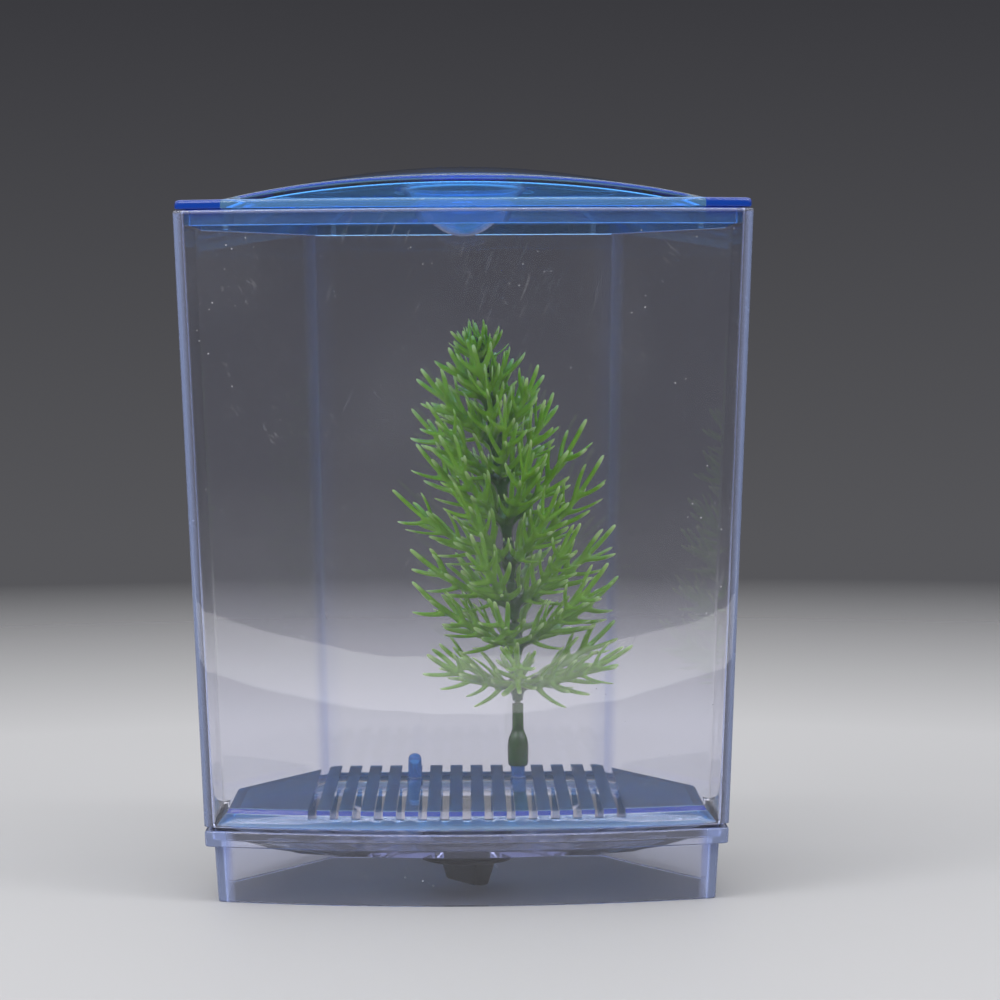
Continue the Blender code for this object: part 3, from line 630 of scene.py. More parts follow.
@dataclass(frozen=True)
class SeeThrough(Moulded):
    """Transparent plastic that takes its tint from how far light runs inside it.

    Args:
        tint: The colour that is left after a long run.
        density: How soon the tint comes, per metre.
        clarity: The share of light that passes the surface unscattered.
        painted_middle_light_colour: Painted light: colour of a diffuse share that stands in for light seen in
            the edges, where the attribute "edge" is 0.5.
        painted_edge_light_colour: The painted colour where it is 1: lavender light on clear plastic,
            deep-blue shade on blue plastic.
        painted_edge_clarity: The clarity there; the rest is the painted colour.
        scuffs: How much the handling marks show.
        grain: Turn of the scuffs in degrees, so that pieces differ.
        scratch_scale: Fineness of the scratches across.
        scratch_stretch: How many times longer than wide they are.
        haze_scale: Fineness of the rubbed areas.
        dust_scale: How close the dust lies.
        ripple_scale: Fineness of the moulding's ripples.
        ripple_depth: Height of the ripples in metres.
        scratch_rough: Roughness that a scratch adds.
        haze_rough: Roughness that the rubbed areas add.
        dust_rough: Roughness that a speck of dust adds.
        scratch_cloud: Share of the clarity that a scratch takes.
        haze_cloud: Share of it that the rubbed areas take.
        dust_cloud: Share of it that a speck of dust takes.
        refraction: The plastic's index of refraction.
    """

    tint: Triple = (0.5, 0.5, 0.5)
    density: float = 10.0
    clarity: float = 0.96
    painted_middle_light_colour: Triple = (0.62, 0.68, 1.0)
    painted_edge_light_colour: Triple = (0.8, 0.8, 1.0)
    painted_edge_clarity: float = 0.8
    scuffs: float = 1.0
    grain: float = 20.0
    scratch_scale: float = 1300.0
    scratch_stretch: float = 13.0
    haze_scale: float = 26.0
    dust_scale: float = 330.0
    ripple_scale: float = 45.0
    ripple_depth: float = 0.0008
    scratch_rough: float = 0.08
    haze_rough: float = 0.03
    dust_rough: float = 0.2
    scratch_cloud: float = 0.035
    haze_cloud: float = 0.010
    dust_cloud: float = 0.30
    refraction: float = 1.49

    def scratches(self, graph: Graph) -> bpy.types.NodeSocket:
        """Fine scratches in two directions, as a value from 0 to 1.

        Args:
            graph: The material's graph.

        Returns:
            The value.
        """
        marks = []
        for turn, shift in ((self.grain, 0.031), (self.grain - 66.0, 0.073)):
            line = graph.place((1.0, 1.0, self.scratch_stretch), (6.0, turn, 10.0), (shift, 0.0, shift),
                               "TEXTURE")
            streaks = graph.noise(line, self.scratch_scale, 0.0)
            patch = graph.noise(graph.place(shift=(shift, 0.0, shift)), 34.0, 2.0)
            sharp = graph.span(streaks, 0.735, 0.765, 0.0, 1.0)
            marks.append(graph.maths("MULTIPLY", sharp, graph.span(patch, 0.54, 0.66, 0.0, 1.0)))
        return graph.maths("MAXIMUM", marks[0], marks[1])

    def build(self) -> bpy.types.Material:
        """Make the material: a tint inside, haze, scratches and dust on it, and painted light and shade at
        its edges.

        Returns:
            The material.
        """
        material, graph, shader = self.start()
        shader.inputs["Transmission Weight"].default_value = self.clarity
        shader.inputs["IOR"].default_value = self.refraction
        scratches = self.scratches(graph)
        rubbed = graph.noise(graph.place((1.0, 1.0, 0.6)), self.haze_scale, 3.0)
        haze = graph.span(rubbed, 0.50, 0.75, 0.0, 1.0)
        dust = graph.span(graph.spots(graph.place(), self.dust_scale), 0.05, 0.085, 1.0, 0.0)
        drift = graph.noise(graph.place(shift=(0.4, 0.1, 0.2)), 60.0, 2.0)
        specks = graph.maths("MULTIPLY", dust, graph.span(drift, 0.50, 0.64, 0.0, 1.0))
        worn = graph.maths("ADD", graph.maths("MULTIPLY", scratches, self.scratch_rough * self.scuffs),
                           graph.maths("MULTIPLY", haze, self.haze_rough * self.scuffs))
        worn = graph.maths("ADD", worn, graph.maths("MULTIPLY", specks, self.dust_rough))
        graph.join(graph.maths("ADD", worn, self.roughness), shader.inputs["Roughness"])
        clouded = graph.maths("ADD", graph.maths("MULTIPLY", scratches, self.scratch_cloud * self.scuffs),
                              graph.maths("MULTIPLY", specks, self.dust_cloud * self.scuffs))
        clouded = graph.maths("ADD", clouded, graph.maths("MULTIPLY", haze, self.haze_cloud * self.scuffs))
        # Painted light and shade: where the attribute "edge" is set, a diffuse colour takes part of the
        # clarity, standing in for light seen in the edges.
        edge = graph.add("Attribute", attribute_name="edge").outputs["Fac"]
        clean = graph.span(edge, 0.0, 1.0, self.clarity, self.painted_edge_clarity)
        graph.join(graph.maths("MULTIPLY", clean, graph.maths("SUBTRACT", 1.0, clouded)),
                   shader.inputs["Transmission Weight"])
        stops = ((0.0, self.colour), (0.5, self.painted_middle_light_colour), (1.0, self.painted_edge_light_colour))
        graph.join(graph.colours(edge, stops), shader.inputs["Base Color"])
        ripple = graph.noise(graph.place(), self.ripple_scale, 1.0)
        graph.join(graph.bump(ripple, 0.05, self.ripple_depth), shader.inputs["Normal"])
        inside = graph.add("VolumeAbsorption")
        inside.inputs["Color"].default_value = (*self.tint, 1.0)
        inside.inputs["Density"].default_value = self.density
        output = next(node for node in material.node_tree.nodes if node.type == "OUTPUT_MATERIAL")
        graph.join(inside.outputs["Volume"], output.inputs["Volume"])
        return material


@dataclass(frozen=True)
class Satin(Moulded):
    """Opaque satin plastic or rubber with a fine moulded grain.

    Args:
        grain_scale: Fineness of the grain.
        grain_depth: Height of the grain in metres.
        wear_scale: Fineness of the worn areas.
        wear_gain: How many times paler a worn area is.
        shine: Strength of the surface's mirror, 0.5 being that of plain plastic.
    """

    grain_scale: float = 1800.0
    grain_depth: float = 0.00002
    wear_scale: float = 160.0
    wear_gain: float = 1.8
    shine: float = 0.22

    def build(self) -> bpy.types.Material:
        """Make the material.

        Returns:
            The material.
        """
        material, graph, shader = self.start()
        grain = graph.noise(graph.place(), self.grain_scale, 3.0)
        wear = graph.noise(graph.place(), self.wear_scale, 3.0)
        graph.join(graph.span(wear, 0.35, 0.7, self.roughness - 0.06, self.roughness + 0.12),
                   shader.inputs["Roughness"])
        pale = tuple(channel * self.wear_gain + 0.002 for channel in self.colour)
        shader.inputs["Specular IOR Level"].default_value = self.shine
        graph.join(graph.colours(wear, ((0.35, self.colour), (0.85, pale))), shader.inputs["Base Color"])
        graph.join(graph.bump(grain, 0.15, self.grain_depth), shader.inputs["Normal"])
        return material


@dataclass(frozen=True)
class Leaf(Moulded):
    """Soft green plastic: dark at the roots, partly as painted shade deep in the plant, pale at the tips,
    with a little light passing into it.

    Args:
        root: Colour at the stem.
        tip: Colour at the needles' ends.
        glow: Share of the light that spreads inside it.
        glow_colour: How far each colour spreads, as shares.
        glow_reach: How far it spreads in metres.
        grain_scale: Fineness of the grain.
        grain_depth: Height of the grain in metres.
    """

    root: Triple = (0.02, 0.1, 0.01)
    tip: Triple = (0.4, 0.6, 0.2)
    glow: float = 0.12
    glow_colour: Triple = (0.35, 1.0, 0.15)
    glow_reach: float = 0.0014
    grain_scale: float = 900.0
    grain_depth: float = 0.00004

    def build(self) -> bpy.types.Material:
        """Make the material.

        Returns:
            The material.
        """
        material, graph, shader = self.start()
        reach = graph.add("Attribute", attribute_name="reach").outputs["Fac"]
        cloud = graph.noise(graph.place(), 120.0, 2.0)
        uneven = graph.maths("ADD", reach, graph.span(cloud, 0.3, 0.7, -0.10, 0.10))
        # Dark roots: the stems' own darker green, deepened as painted shade for the plant's shaded inside.
        graph.join(graph.colours(uneven, ((0.0, self.root), (0.40, self.colour), (0.70, self.colour),
                                          (1.0, self.tip))), shader.inputs["Base Color"])
        graph.join(graph.span(cloud, 0.3, 0.7, self.roughness - 0.07, self.roughness + 0.10),
                   shader.inputs["Roughness"])
        shader.inputs["Subsurface Weight"].default_value = self.glow
        shader.inputs["Subsurface Radius"].default_value = self.glow_colour
        shader.inputs["Subsurface Scale"].default_value = self.glow_reach
        grain = graph.noise(graph.place(), self.grain_scale, 2.0)
        graph.join(graph.bump(grain, 0.25, self.grain_depth), shader.inputs["Normal"])
        return material


@dataclass
class Finishes:
    """Every finish of the box, made once."""

    # The edge colours below are painted light and shade: a lavender glow on the clear mouldings, deep blue
    # and paler cyan on the blue ones.
    clear: bpy.types.Material = field(default_factory=lambda: SeeThrough(
        "clear_moulding", (0.93, 0.93, 0.98), 0.012, tint=(0.0, 0.10, 0.75), density=7.0, clarity=0.993,
        painted_edge_light_colour=(0.50, 0.61, 1.0), painted_edge_clarity=0.70).build())
    foot: bpy.types.Material = field(default_factory=lambda: SeeThrough(
        "clear_stand_moulding", (0.92, 0.93, 1.0), 0.015, tint=(0.0, 0.10, 0.75), density=7.0, clarity=0.996,
        painted_edge_light_colour=(0.50, 0.61, 1.0), painted_edge_clarity=0.70, scuffs=1.2, grain=70.0).build())
    lid: bpy.types.Material = field(default_factory=lambda: SeeThrough(
        "blue_lid_moulding", (0.62, 0.88, 1.0), 0.018, tint=(0.0, 0.56, 0.97), density=380.0, clarity=0.975,
        painted_middle_light_colour=(0.26, 0.60, 0.97), painted_edge_light_colour=(0.012, 0.09, 0.62), painted_edge_clarity=0.60, scuffs=0.7,
        grain=95.0).build())
    grate: bpy.types.Material = field(default_factory=lambda: SeeThrough(
        "blue_grate_moulding", (0.14, 0.54, 1.0), 0.025, tint=(0.0, 0.62, 0.97), density=240.0, clarity=0.80,
        painted_middle_light_colour=(0.50, 0.84, 1.0), painted_edge_light_colour=(0.002, 0.07, 0.60), painted_edge_clarity=0.28, scuffs=1.0,
        grain=40.0).build())
    black: bpy.types.Material = field(default_factory=lambda: Satin(
        "black_valve_plastic", (0.003, 0.003, 0.0035), 0.36).build())
    rubber: bpy.types.Material = field(default_factory=lambda: Satin(
        "black_seal_rubber", (0.014, 0.014, 0.014), 0.62, grain_scale=2600.0).build())
    leaf: bpy.types.Material = field(default_factory=lambda: Leaf(
        "green_leaf_plastic", (0.20, 0.46, 0.010), 0.19, root=(0.010, 0.085, 0.002),
        tip=(0.62, 0.82, 0.30)).build())


# The box


@dataclass
class Tank:
    """The clear tank: drafted walls, a ledge for the grate and a well that falls to the drain."""

    rim: Plan = Plan(0.0725, -0.0535, 0.011, 0.044, 0.0429, 0.0535)
    foot: Plan = Plan(0.0664, -0.0485, 0.010, 0.042, 0.0401, 0.0525)
    well: Plan = Plan(0.06110, -0.042926, 0.009736, 0.02966, 0.03522, 0.031943)
    rim_z: float = 0.1747
    foot_z: float = 0.0196
    wall: float = 0.0023
    round_off: float = 0.0005
    ledge_under_z: float = 0.0164
    ledge_z: float = 0.0191
    well_z: float = 0.0142
    well_under_z: float = 0.0118
    well_slope: float = 0.0006
    collar_inset: float = 0.0024
    drain: Vector = field(default_factory=lambda: Vector((0.0, -0.0232, 0.0)))
    drain_hole: float = 0.0087
    hub_radius: float = 0.0174
    hub_under_z: float = 0.0115
    dish_z: float = 0.0138
    hub_draft: float = 0.0004
    hub_round: float = 0.0003
    sump_back: Triple = (0.70, 0.55, 1.0)
    sump_front: Triple = (0.70, 0.93, 1.0)
    # Painted light at the edges: a lavender glow at the front's upright corners, a painted highlight line
    # along the rim, and fainter painted light at the back chamfers and the front foot.
    rim_zone: float = 0.0006
    foot_zone: float = 0.0004
    corner_zone: float = 0.0026
    corner_run: float = 0.002
    chamfer_zone: float = 0.0016
    chamfer_run: float = 0.0035
    painted_rim_highlight: float = 0.45
    painted_faint_edge_light: float = 0.3

    def plan_at(self, z: float) -> Plan:
        """Outer plan of the walls at a height."""
        return self.foot.blend(self.rim, (z - self.foot_z) / (self.rim_z - self.foot_z))

    def sump(self, work: Moulding, well: Plan, z: float) -> None:
        """The well's flat bottom: drawn in sideways, and more at the back than in front.

        Args:
            work: The tank so far.
            well: The well's plan.
            z: Height of the bottom.
        """
        verts = work.plan(well, z)
        about = Matrix.Translation(-self.drain)
        behind = [vert for vert in verts if vert.co.y >= self.drain.y]
        before = [vert for vert in verts if vert.co.y < self.drain.y]
        bmesh.ops.scale(work.mesh, vec=self.sump_back, verts=behind, space=about)
        bmesh.ops.scale(work.mesh, vec=self.sump_front, verts=before, space=about)

    def painted_light_at(self, co: Vector) -> float:
        """How much light is painted at a point: fully at the front's upright corners, less at rim, back and
        foot.

        Args:
            co: The point.

        Returns:
            The value of the attribute "edge", the strength of the painted light.
        """
        plan = self.plan_at(co.z)
        if co.z > self.rim_z - self.rim_zone:
            return self.painted_rim_highlight
        if co.y < plan.corner_y + self.corner_run:
            if abs(co.x) > plan.half_width - self.corner_zone:
                return 1.0
            return self.painted_faint_edge_light * (co.z < self.foot_z + self.foot_zone)
        beside = abs(abs(co.x) - plan.back_half) < self.chamfer_zone
        return self.painted_faint_edge_light * (beside and co.y > plan.back_y - self.chamfer_run)

    def build(self, finishes: Finishes) -> None:
        """Make the tank.

        Args:
            finishes: The finishes.
        """
        work = Moulding()
        r = self.round_off
        work.plan(self.plan_at(self.foot_z).inset(self.collar_inset), self.foot_z)
        for z, inset in ((self.foot_z, 0.3 * r), (self.foot_z + 0.3 * r, 0.0), (self.foot_z + 2 * r, 0.0),
                         (self.rim_z - 2 * r, 0.0), (self.rim_z - r, 0.0), (self.rim_z - 0.3 * r, 0.3 * r),
                         (self.rim_z, r), (self.rim_z, self.wall - r),
                         (self.rim_z - 0.3 * r, self.wall - 0.3 * r), (self.rim_z - r, self.wall),
                         (self.rim_z - 2 * r, self.wall),
                         (self.ledge_z + 3 * r, self.wall), (self.ledge_z + r, self.wall + 0.3 * r),
                         (self.ledge_z + 0.3 * r, self.wall + r), (self.ledge_z, self.wall + 2 * r)):
            work.plan(self.plan_at(z).inset(inset), z)
        inner = self.well.inset(self.well_slope)
        work.plan(inner.inset(-0.8 * r), self.ledge_z)
        work.plan(inner, self.ledge_z - 0.6 * r)
        self.sump(work, inner, self.well_z)
        for radius, z in ((self.hub_radius, self.well_z), (self.hub_radius - self.hub_draft, self.dish_z),
                          (self.drain_hole, self.dish_z), (self.drain_hole, self.hub_under_z),
                          (self.hub_radius - self.hub_round, self.hub_under_z),
                          (self.hub_radius, self.well_under_z)):
            work.round(inner, radius, self.drain, z)
        self.sump(work, self.well, self.well_under_z)
        work.plan(self.well, self.ledge_under_z)
        work.plan(self.plan_at(self.ledge_under_z).inset(self.collar_inset), self.ledge_under_z)
        mesh = work.bridge(closed=True)
        paint(mesh, "edge", self.painted_light_at)
        piece = make_piece("tank_walls", mesh)
        settle(piece, Body.TANK, finishes.clear, ["tank"])


@dataclass
class Stand:
    """The clear stand: a collar round the tank's foot, a shelf and an open skirt."""

    tank: Tank
    collar_top: float = 0.0185
    collar_foot: float = 0.0145
    collar_wall: float = 0.0021
    shelf_z: float = 0.0161
    skirt_top: Plan = Plan(0.0640, -0.045936, 0.0101, 0.0305, 0.0376, 0.0327)
    skirt_foot: Plan = Plan(0.0632, -0.045436, 0.0101, 0.0305, 0.0376, 0.0327)
    wall: float = 0.0022
    round_off: float = 0.0004
    # Painted light at the edges: a lavender glow at the front's upright corners, painted highlight lines at
    # the rims and the collar's foot, fainter painted light at the back chamfers and over the collar.
    corner_zone: float = 0.0005
    corner_run: float = 0.0025
    rim_zone: float = 0.0003
    collar_zone: float = 0.0002
    chamfer_zone: float = 0.002
    chamfer_run: float = 0.0035
    painted_rim_highlight: float = 0.45
    painted_faint_edge_light: float = 0.3
    painted_collar_light: float = 0.12

    def painted_light_at(self, co: Vector) -> float:
        """How much light is painted at a point: fully at the front's upright corners, less at rims, back and
        collar.

        Args:
            co: The point.

        Returns:
            The value of the attribute "edge", the strength of the painted light.
        """
        skirt = self.skirt_foot
        inside = skirt.half_width - self.wall - self.corner_zone
        if abs(co.x) > inside and co.y < skirt.corner_y + self.corner_run:
            return 1.0
        if co.z < self.rim_zone or co.z > self.collar_top - self.rim_zone:
            return self.painted_rim_highlight
        if abs(co.z - self.collar_foot) < self.collar_zone:
            return self.painted_rim_highlight
        if abs(abs(co.x) - skirt.back_half) < self.chamfer_zone and co.y > skirt.back_y - self.chamfer_run:
            return self.painted_faint_edge_light
        return self.painted_collar_light * (co.z > self.collar_foot - self.round_off)

    def build(self, finishes: Finishes) -> None:
        """Make the stand.

        Args:
            finishes: The finishes.
        """
        work = Moulding()
        r = self.round_off
        at = self.tank.plan_at
        for z, inset in ((self.shelf_z, self.collar_wall + r), (self.shelf_z + r, self.collar_wall),
                         (self.collar_top - r, self.collar_wall), (self.collar_top, self.collar_wall - r),
                         (self.collar_top, r), (self.collar_top - 0.3 * r, 0.3 * r),
                         (self.collar_top - r, 0.0), (self.collar_foot + r, 0.0),
                         (self.collar_foot + 0.3 * r, 0.3 * r), (self.collar_foot, r)):
            work.plan(at(z).inset(inset), z)
        under = self.collar_foot
        work.plan(self.skirt_top.inset(-0.5 * r), under)
        work.plan(self.skirt_top, under - 0.5 * r)
        work.plan(self.skirt_top, under - 2 * r)
        work.plan(self.skirt_foot, 2 * r)
        work.plan(self.skirt_foot, r)
        work.plan(self.skirt_foot.inset(0.3 * r), 0.3 * r)
        work.plan(self.skirt_foot.inset(r), 0.0)
        work.plan(self.skirt_foot.inset(self.wall - r), 0.0)
        work.plan(self.skirt_foot.inset(self.wall - 0.3 * r), 0.3 * r)
        work.plan(self.skirt_foot.inset(self.wall), r)
        work.plan(self.skirt_top.inset(self.wall), self.shelf_z - r)
        work.plan(self.skirt_top.inset(self.wall - r), self.shelf_z)
        mesh = work.bridge(closed=True)
        paint(mesh, "edge", self.painted_light_at)
        piece = make_piece("stand_skirt", mesh)
        settle(piece, Body.STAND, finishes.foot, ["stand"])


@dataclass
class Lid:
    """The blue lid: plate, skirt, crowned vault, finger cup and nibs."""

    tank: Tank
    plate_under: float = 0.1750
    plate_top: float = 0.1773
    overhang: float = 0.0005
    edge_round: float = 0.0008
    skirt_inset: float = 0.0027
    skirt_wall: float = 0.0015
    skirt_foot: float = 0.1709
    border: float = 0.0030
    half_span: float = 0.0604
    half_length: float = 0.0505
    crown_rise: float = 0.0096
    edge_rise: float = 0.0057
    sheet: float = 0.0019
    wall_round: float = 0.0006
    cup_mouth: float = 0.0175
    cup_wall: float = 0.0016
    cup_foot: float = 0.1691
    cup_curve: float = 0.45
    cup_shares: tuple[float, ...] = (0.04, 0.10, 0.22, 0.34, 0.45, 0.56, 0.66, 0.76, 0.84, 0.90)
    top_shares: tuple[float, ...] = (0.92, 0.80, 0.66, 0.52, 0.38, 0.24, 0.12)
    under_shares: tuple[float, ...] = (0.14, 0.28, 0.42, 0.56, 0.70, 0.84, 1.0)
    skirt_round: float = 0.0003
    crease_merge: float = 2e-6
    nibs: tuple[tuple[float, float], ...] = ((0.032, 0.0026), (-0.032, 0.0026), (0.059, 0.0011),
                                             (-0.059, 0.0011))
    nib_width: float = 0.0013
    nib_depth: float = 0.00075
    nib_gap: float = 0.00002
    nib_round: float = 0.00015
    # Painted light and shade: deep-blue painted shade along the plate's ends and the vault's front, and
    # painted light on the plate's front, the skirt, the skirt's foot and the finger cup.
    vault_zone: float = 0.0004
    back_run: float = 0.003
    foot_zone: float = 0.0002
    level_zone: float = 0.0001
    border_zone: float = 0.0005
    painted_plate_light: float = 0.6
    painted_skirt_light: float = 0.45
    painted_skirt_foot_light: float = 0.20
    painted_cup_light: float = 0.25

    def rise(self, x: float, y: float) -> float:
        """Height of the vault's top over the plate: an arch across, crowned from front to back."""
        crown = self.crown_rise - (self.crown_rise - self.edge_rise) * (y / self.half_length) ** 2
        return crown * (1 - (x / self.half_span) ** 2)

    def vault_ring(self, work: Moulding, inset: float, level: float, drop: float, share: float = 0.0,
                   radius: float = 0.0) -> None:
        """A ring of the vault, drawn flat and marked for draping.

        Args:
            work: The lid so far.
            inset: How far inside the rim's plan it starts.
            level: The height that it is draped from.
            drop: How far below the vault's top it lies.
            share: How far it is drawn from the plan to a circle.
            radius: That circle's radius.
        """
        verts = work.plan(self.tank.rim.inset(inset), level)
        marks = work.mesh.verts.layers.float["drop"]
        sides = work.mesh.verts.layers.float["drape"]
        for vert in verts:
            flat = Vector((vert.co.x, vert.co.y))
            vert.co.xy = flat.lerp(flat.normalized() * radius, share) if share else flat
            vert[marks] = drop
            vert[sides] = 1.0

    def drape(self, mesh: bmesh.types.BMesh) -> None:
        """Lift the marked points to the vault, after creases are cut where it meets the plate.

        Args:
            mesh: The lid.
        """
        for x in (-self.half_span, self.half_span):
            everything = list(mesh.verts) + list(mesh.edges) + list(mesh.faces)
            bmesh.ops.bisect_plane(mesh, geom=everything, dist=MERGE, plane_co=(x, 0.0, 0.0),
                                   plane_no=(1.0, 0.0, 0.0))
        marks = mesh.verts.layers.float["drop"]
        sides = mesh.verts.layers.float["drape"]
        for vert in mesh.verts:
            if vert[sides] > 0.5:
                height = self.plate_top + self.rise(vert.co.x, vert.co.y) - vert[marks]
                vert.co.z = max(vert.co.z, height)
        bmesh.ops.remove_doubles(mesh, verts=mesh.verts, dist=self.crease_merge)
        bmesh.ops.dissolve_degenerate(mesh, edges=mesh.edges, dist=self.crease_merge)

    def cup_rings(self, work: Moulding, shrink: float, outwards: bool) -> None:
        """The rings of the finger cup's wall between its bottom and its mouth.

        Args:
            work: The lid so far.
            shrink: 0 for the cup's outside, its wall for the inside.
            outwards: Whether the rings run from the bottom to the mouth.
        """
        foot = self.cup_foot + shrink
        depth = self.plate_top + self.crown_rise - foot
        for share in self.cup_shares if outwards else self.cup_shares[::-1]:
            work.round(self.tank.rim, (self.cup_mouth - shrink) * share, Vector((0.0, 0.0)),
                       foot + depth * share ** (1 / self.cup_curve))

    def build(self, finishes: Finishes) -> None:
        """Make the lid as one moulding, with its nibs.

        Args:
            finishes: The finishes.
        """
        work = Moulding()
        work.mesh.verts.layers.float.new("drop")
        work.mesh.verts.layers.float.new("drape")
        rim = self.tank.rim
        inner_mouth = self.cup_mouth - self.cup_wall
        self.cup_rings(work, self.cup_wall, outwards=True)
        f = self.wall_round
        for share, drop in ((1.0, 2 * f), (1.0 + 0.3 * f / inner_mouth, 0.7 * f),
                            (1.0 + f / inner_mouth, 0.1 * f)):
            self.vault_ring(work, self.border, self.plate_top, drop, 1.0, inner_mouth * share)
        for share in self.top_shares:
            self.vault_ring(work, self.border + f, self.plate_top, 0.0, share, inner_mouth)
        for inset, drop in ((2.5 * f, 0.0), (f, 0.0), (0.3 * f, 0.3 * f), (0.0, f), (0.0, 2 * f)):
            self.vault_ring(work, self.border + inset, self.plate_top, drop)
        e = self.edge_round
        s = self.skirt_round
        work.plan(rim.inset(self.border), self.plate_top)
        for inset, z in ((self.overhang + 1.6 * e, self.plate_top), (self.overhang + e, self.plate_top),
                         (self.overhang + 0.3 * e, self.plate_top - 0.3 * e),
                         (self.overhang, self.plate_top - e), (self.overhang, self.plate_under + 0.3 * e),
                         (self.overhang + 0.3 * e, self.plate_under), (self.skirt_inset, self.plate_under),
                         (self.skirt_inset, self.skirt_foot + s), (self.skirt_inset + s, self.skirt_foot),
                         (self.skirt_inset + self.skirt_wall - s, self.skirt_foot),
                         (self.skirt_inset + self.skirt_wall, self.skirt_foot + s),
                         (self.skirt_inset + self.skirt_wall, self.plate_under)):
            work.plan(rim.inset(inset), z)
        hollow = self.border + self.sheet
        for inset, drop in ((0.0, self.sheet + 2 * f), (0.0, self.sheet + f), (0.3 * f, self.sheet + 0.3 * f),
                            (f, self.sheet)):
            self.vault_ring(work, hollow + inset, self.plate_under, drop)
        for share in self.under_shares:
            self.vault_ring(work, hollow + f, self.plate_under, self.sheet, share, self.cup_mouth)
        self.cup_rings(work, 0.0, outwards=False)
        mesh = work.bridge(closed=False)
        self.drape(mesh)
        bmesh.ops.recalc_face_normals(mesh, faces=mesh.faces)
        for x, drop in self.nibs:
            self.nib(mesh, x, drop)
        paint(mesh, "edge", self.painted_light_at)
        piece = make_piece("lid_vault", mesh)
        settle(piece, Body.LID, finishes.lid, ["lid"])

    def painted_light_at(self, co: Vector) -> float:
        """How much light and shade is painted at a point: fully at the plate's ends and the vault's front,
        less elsewhere.

        Args:
            co: The point.

        Returns:
            The value of the attribute "edge", the strength of the painted light and shade.
        """
        front = self.tank.rim.inset(self.border)
        outside = math.hypot(co.x, co.y - front.apex_y - front.bow_radius) - front.bow_radius
        if co.z > self.plate_top + self.vault_zone:
            near_top = self.plate_top + self.rise(co.x, co.y) - co.z < 1.2 * self.wall_round
            if near_top and outside > -self.vault_zone and co.y < 0:
                return 1.0
        if co.xy.length < self.cup_mouth + self.vault_zone:
            return self.painted_cup_light
        if co.z > self.plate_top + self.vault_zone or co.y > self.tank.rim.corner_y + self.back_run:
            return 0.0
        if co.z < self.plate_under - self.level_zone:
            return self.painted_skirt_foot_light if co.z < self.skirt_foot + self.foot_zone else self.painted_skirt_light
        if abs(co.x) > self.half_span - self.level_zone:
            return 1.0
        return self.painted_plate_light * (outside > self.border_zone)

    def nib(self, mesh: bmesh.types.BMesh, x: float, drop: float) -> None:
        """A small tongue under the front of the skirt.

        Args:
            mesh: The lid.
            x: Its middle.
            drop: How far it hangs below the skirt.
        """
        skirt = self.tank.rim.inset(self.skirt_inset)
        depth = math.sqrt(skirt.bow_radius ** 2 - (abs(x) + self.nib_width) ** 2)
        front = skirt.apex_y + skirt.bow_radius - depth
        low = Vector((x - self.nib_width / 2, front, self.skirt_foot - drop))
        high = Vector((x + self.nib_width / 2, front + self.nib_depth, self.skirt_foot - self.nib_gap))
        block(mesh, low, high, self.nib_round)


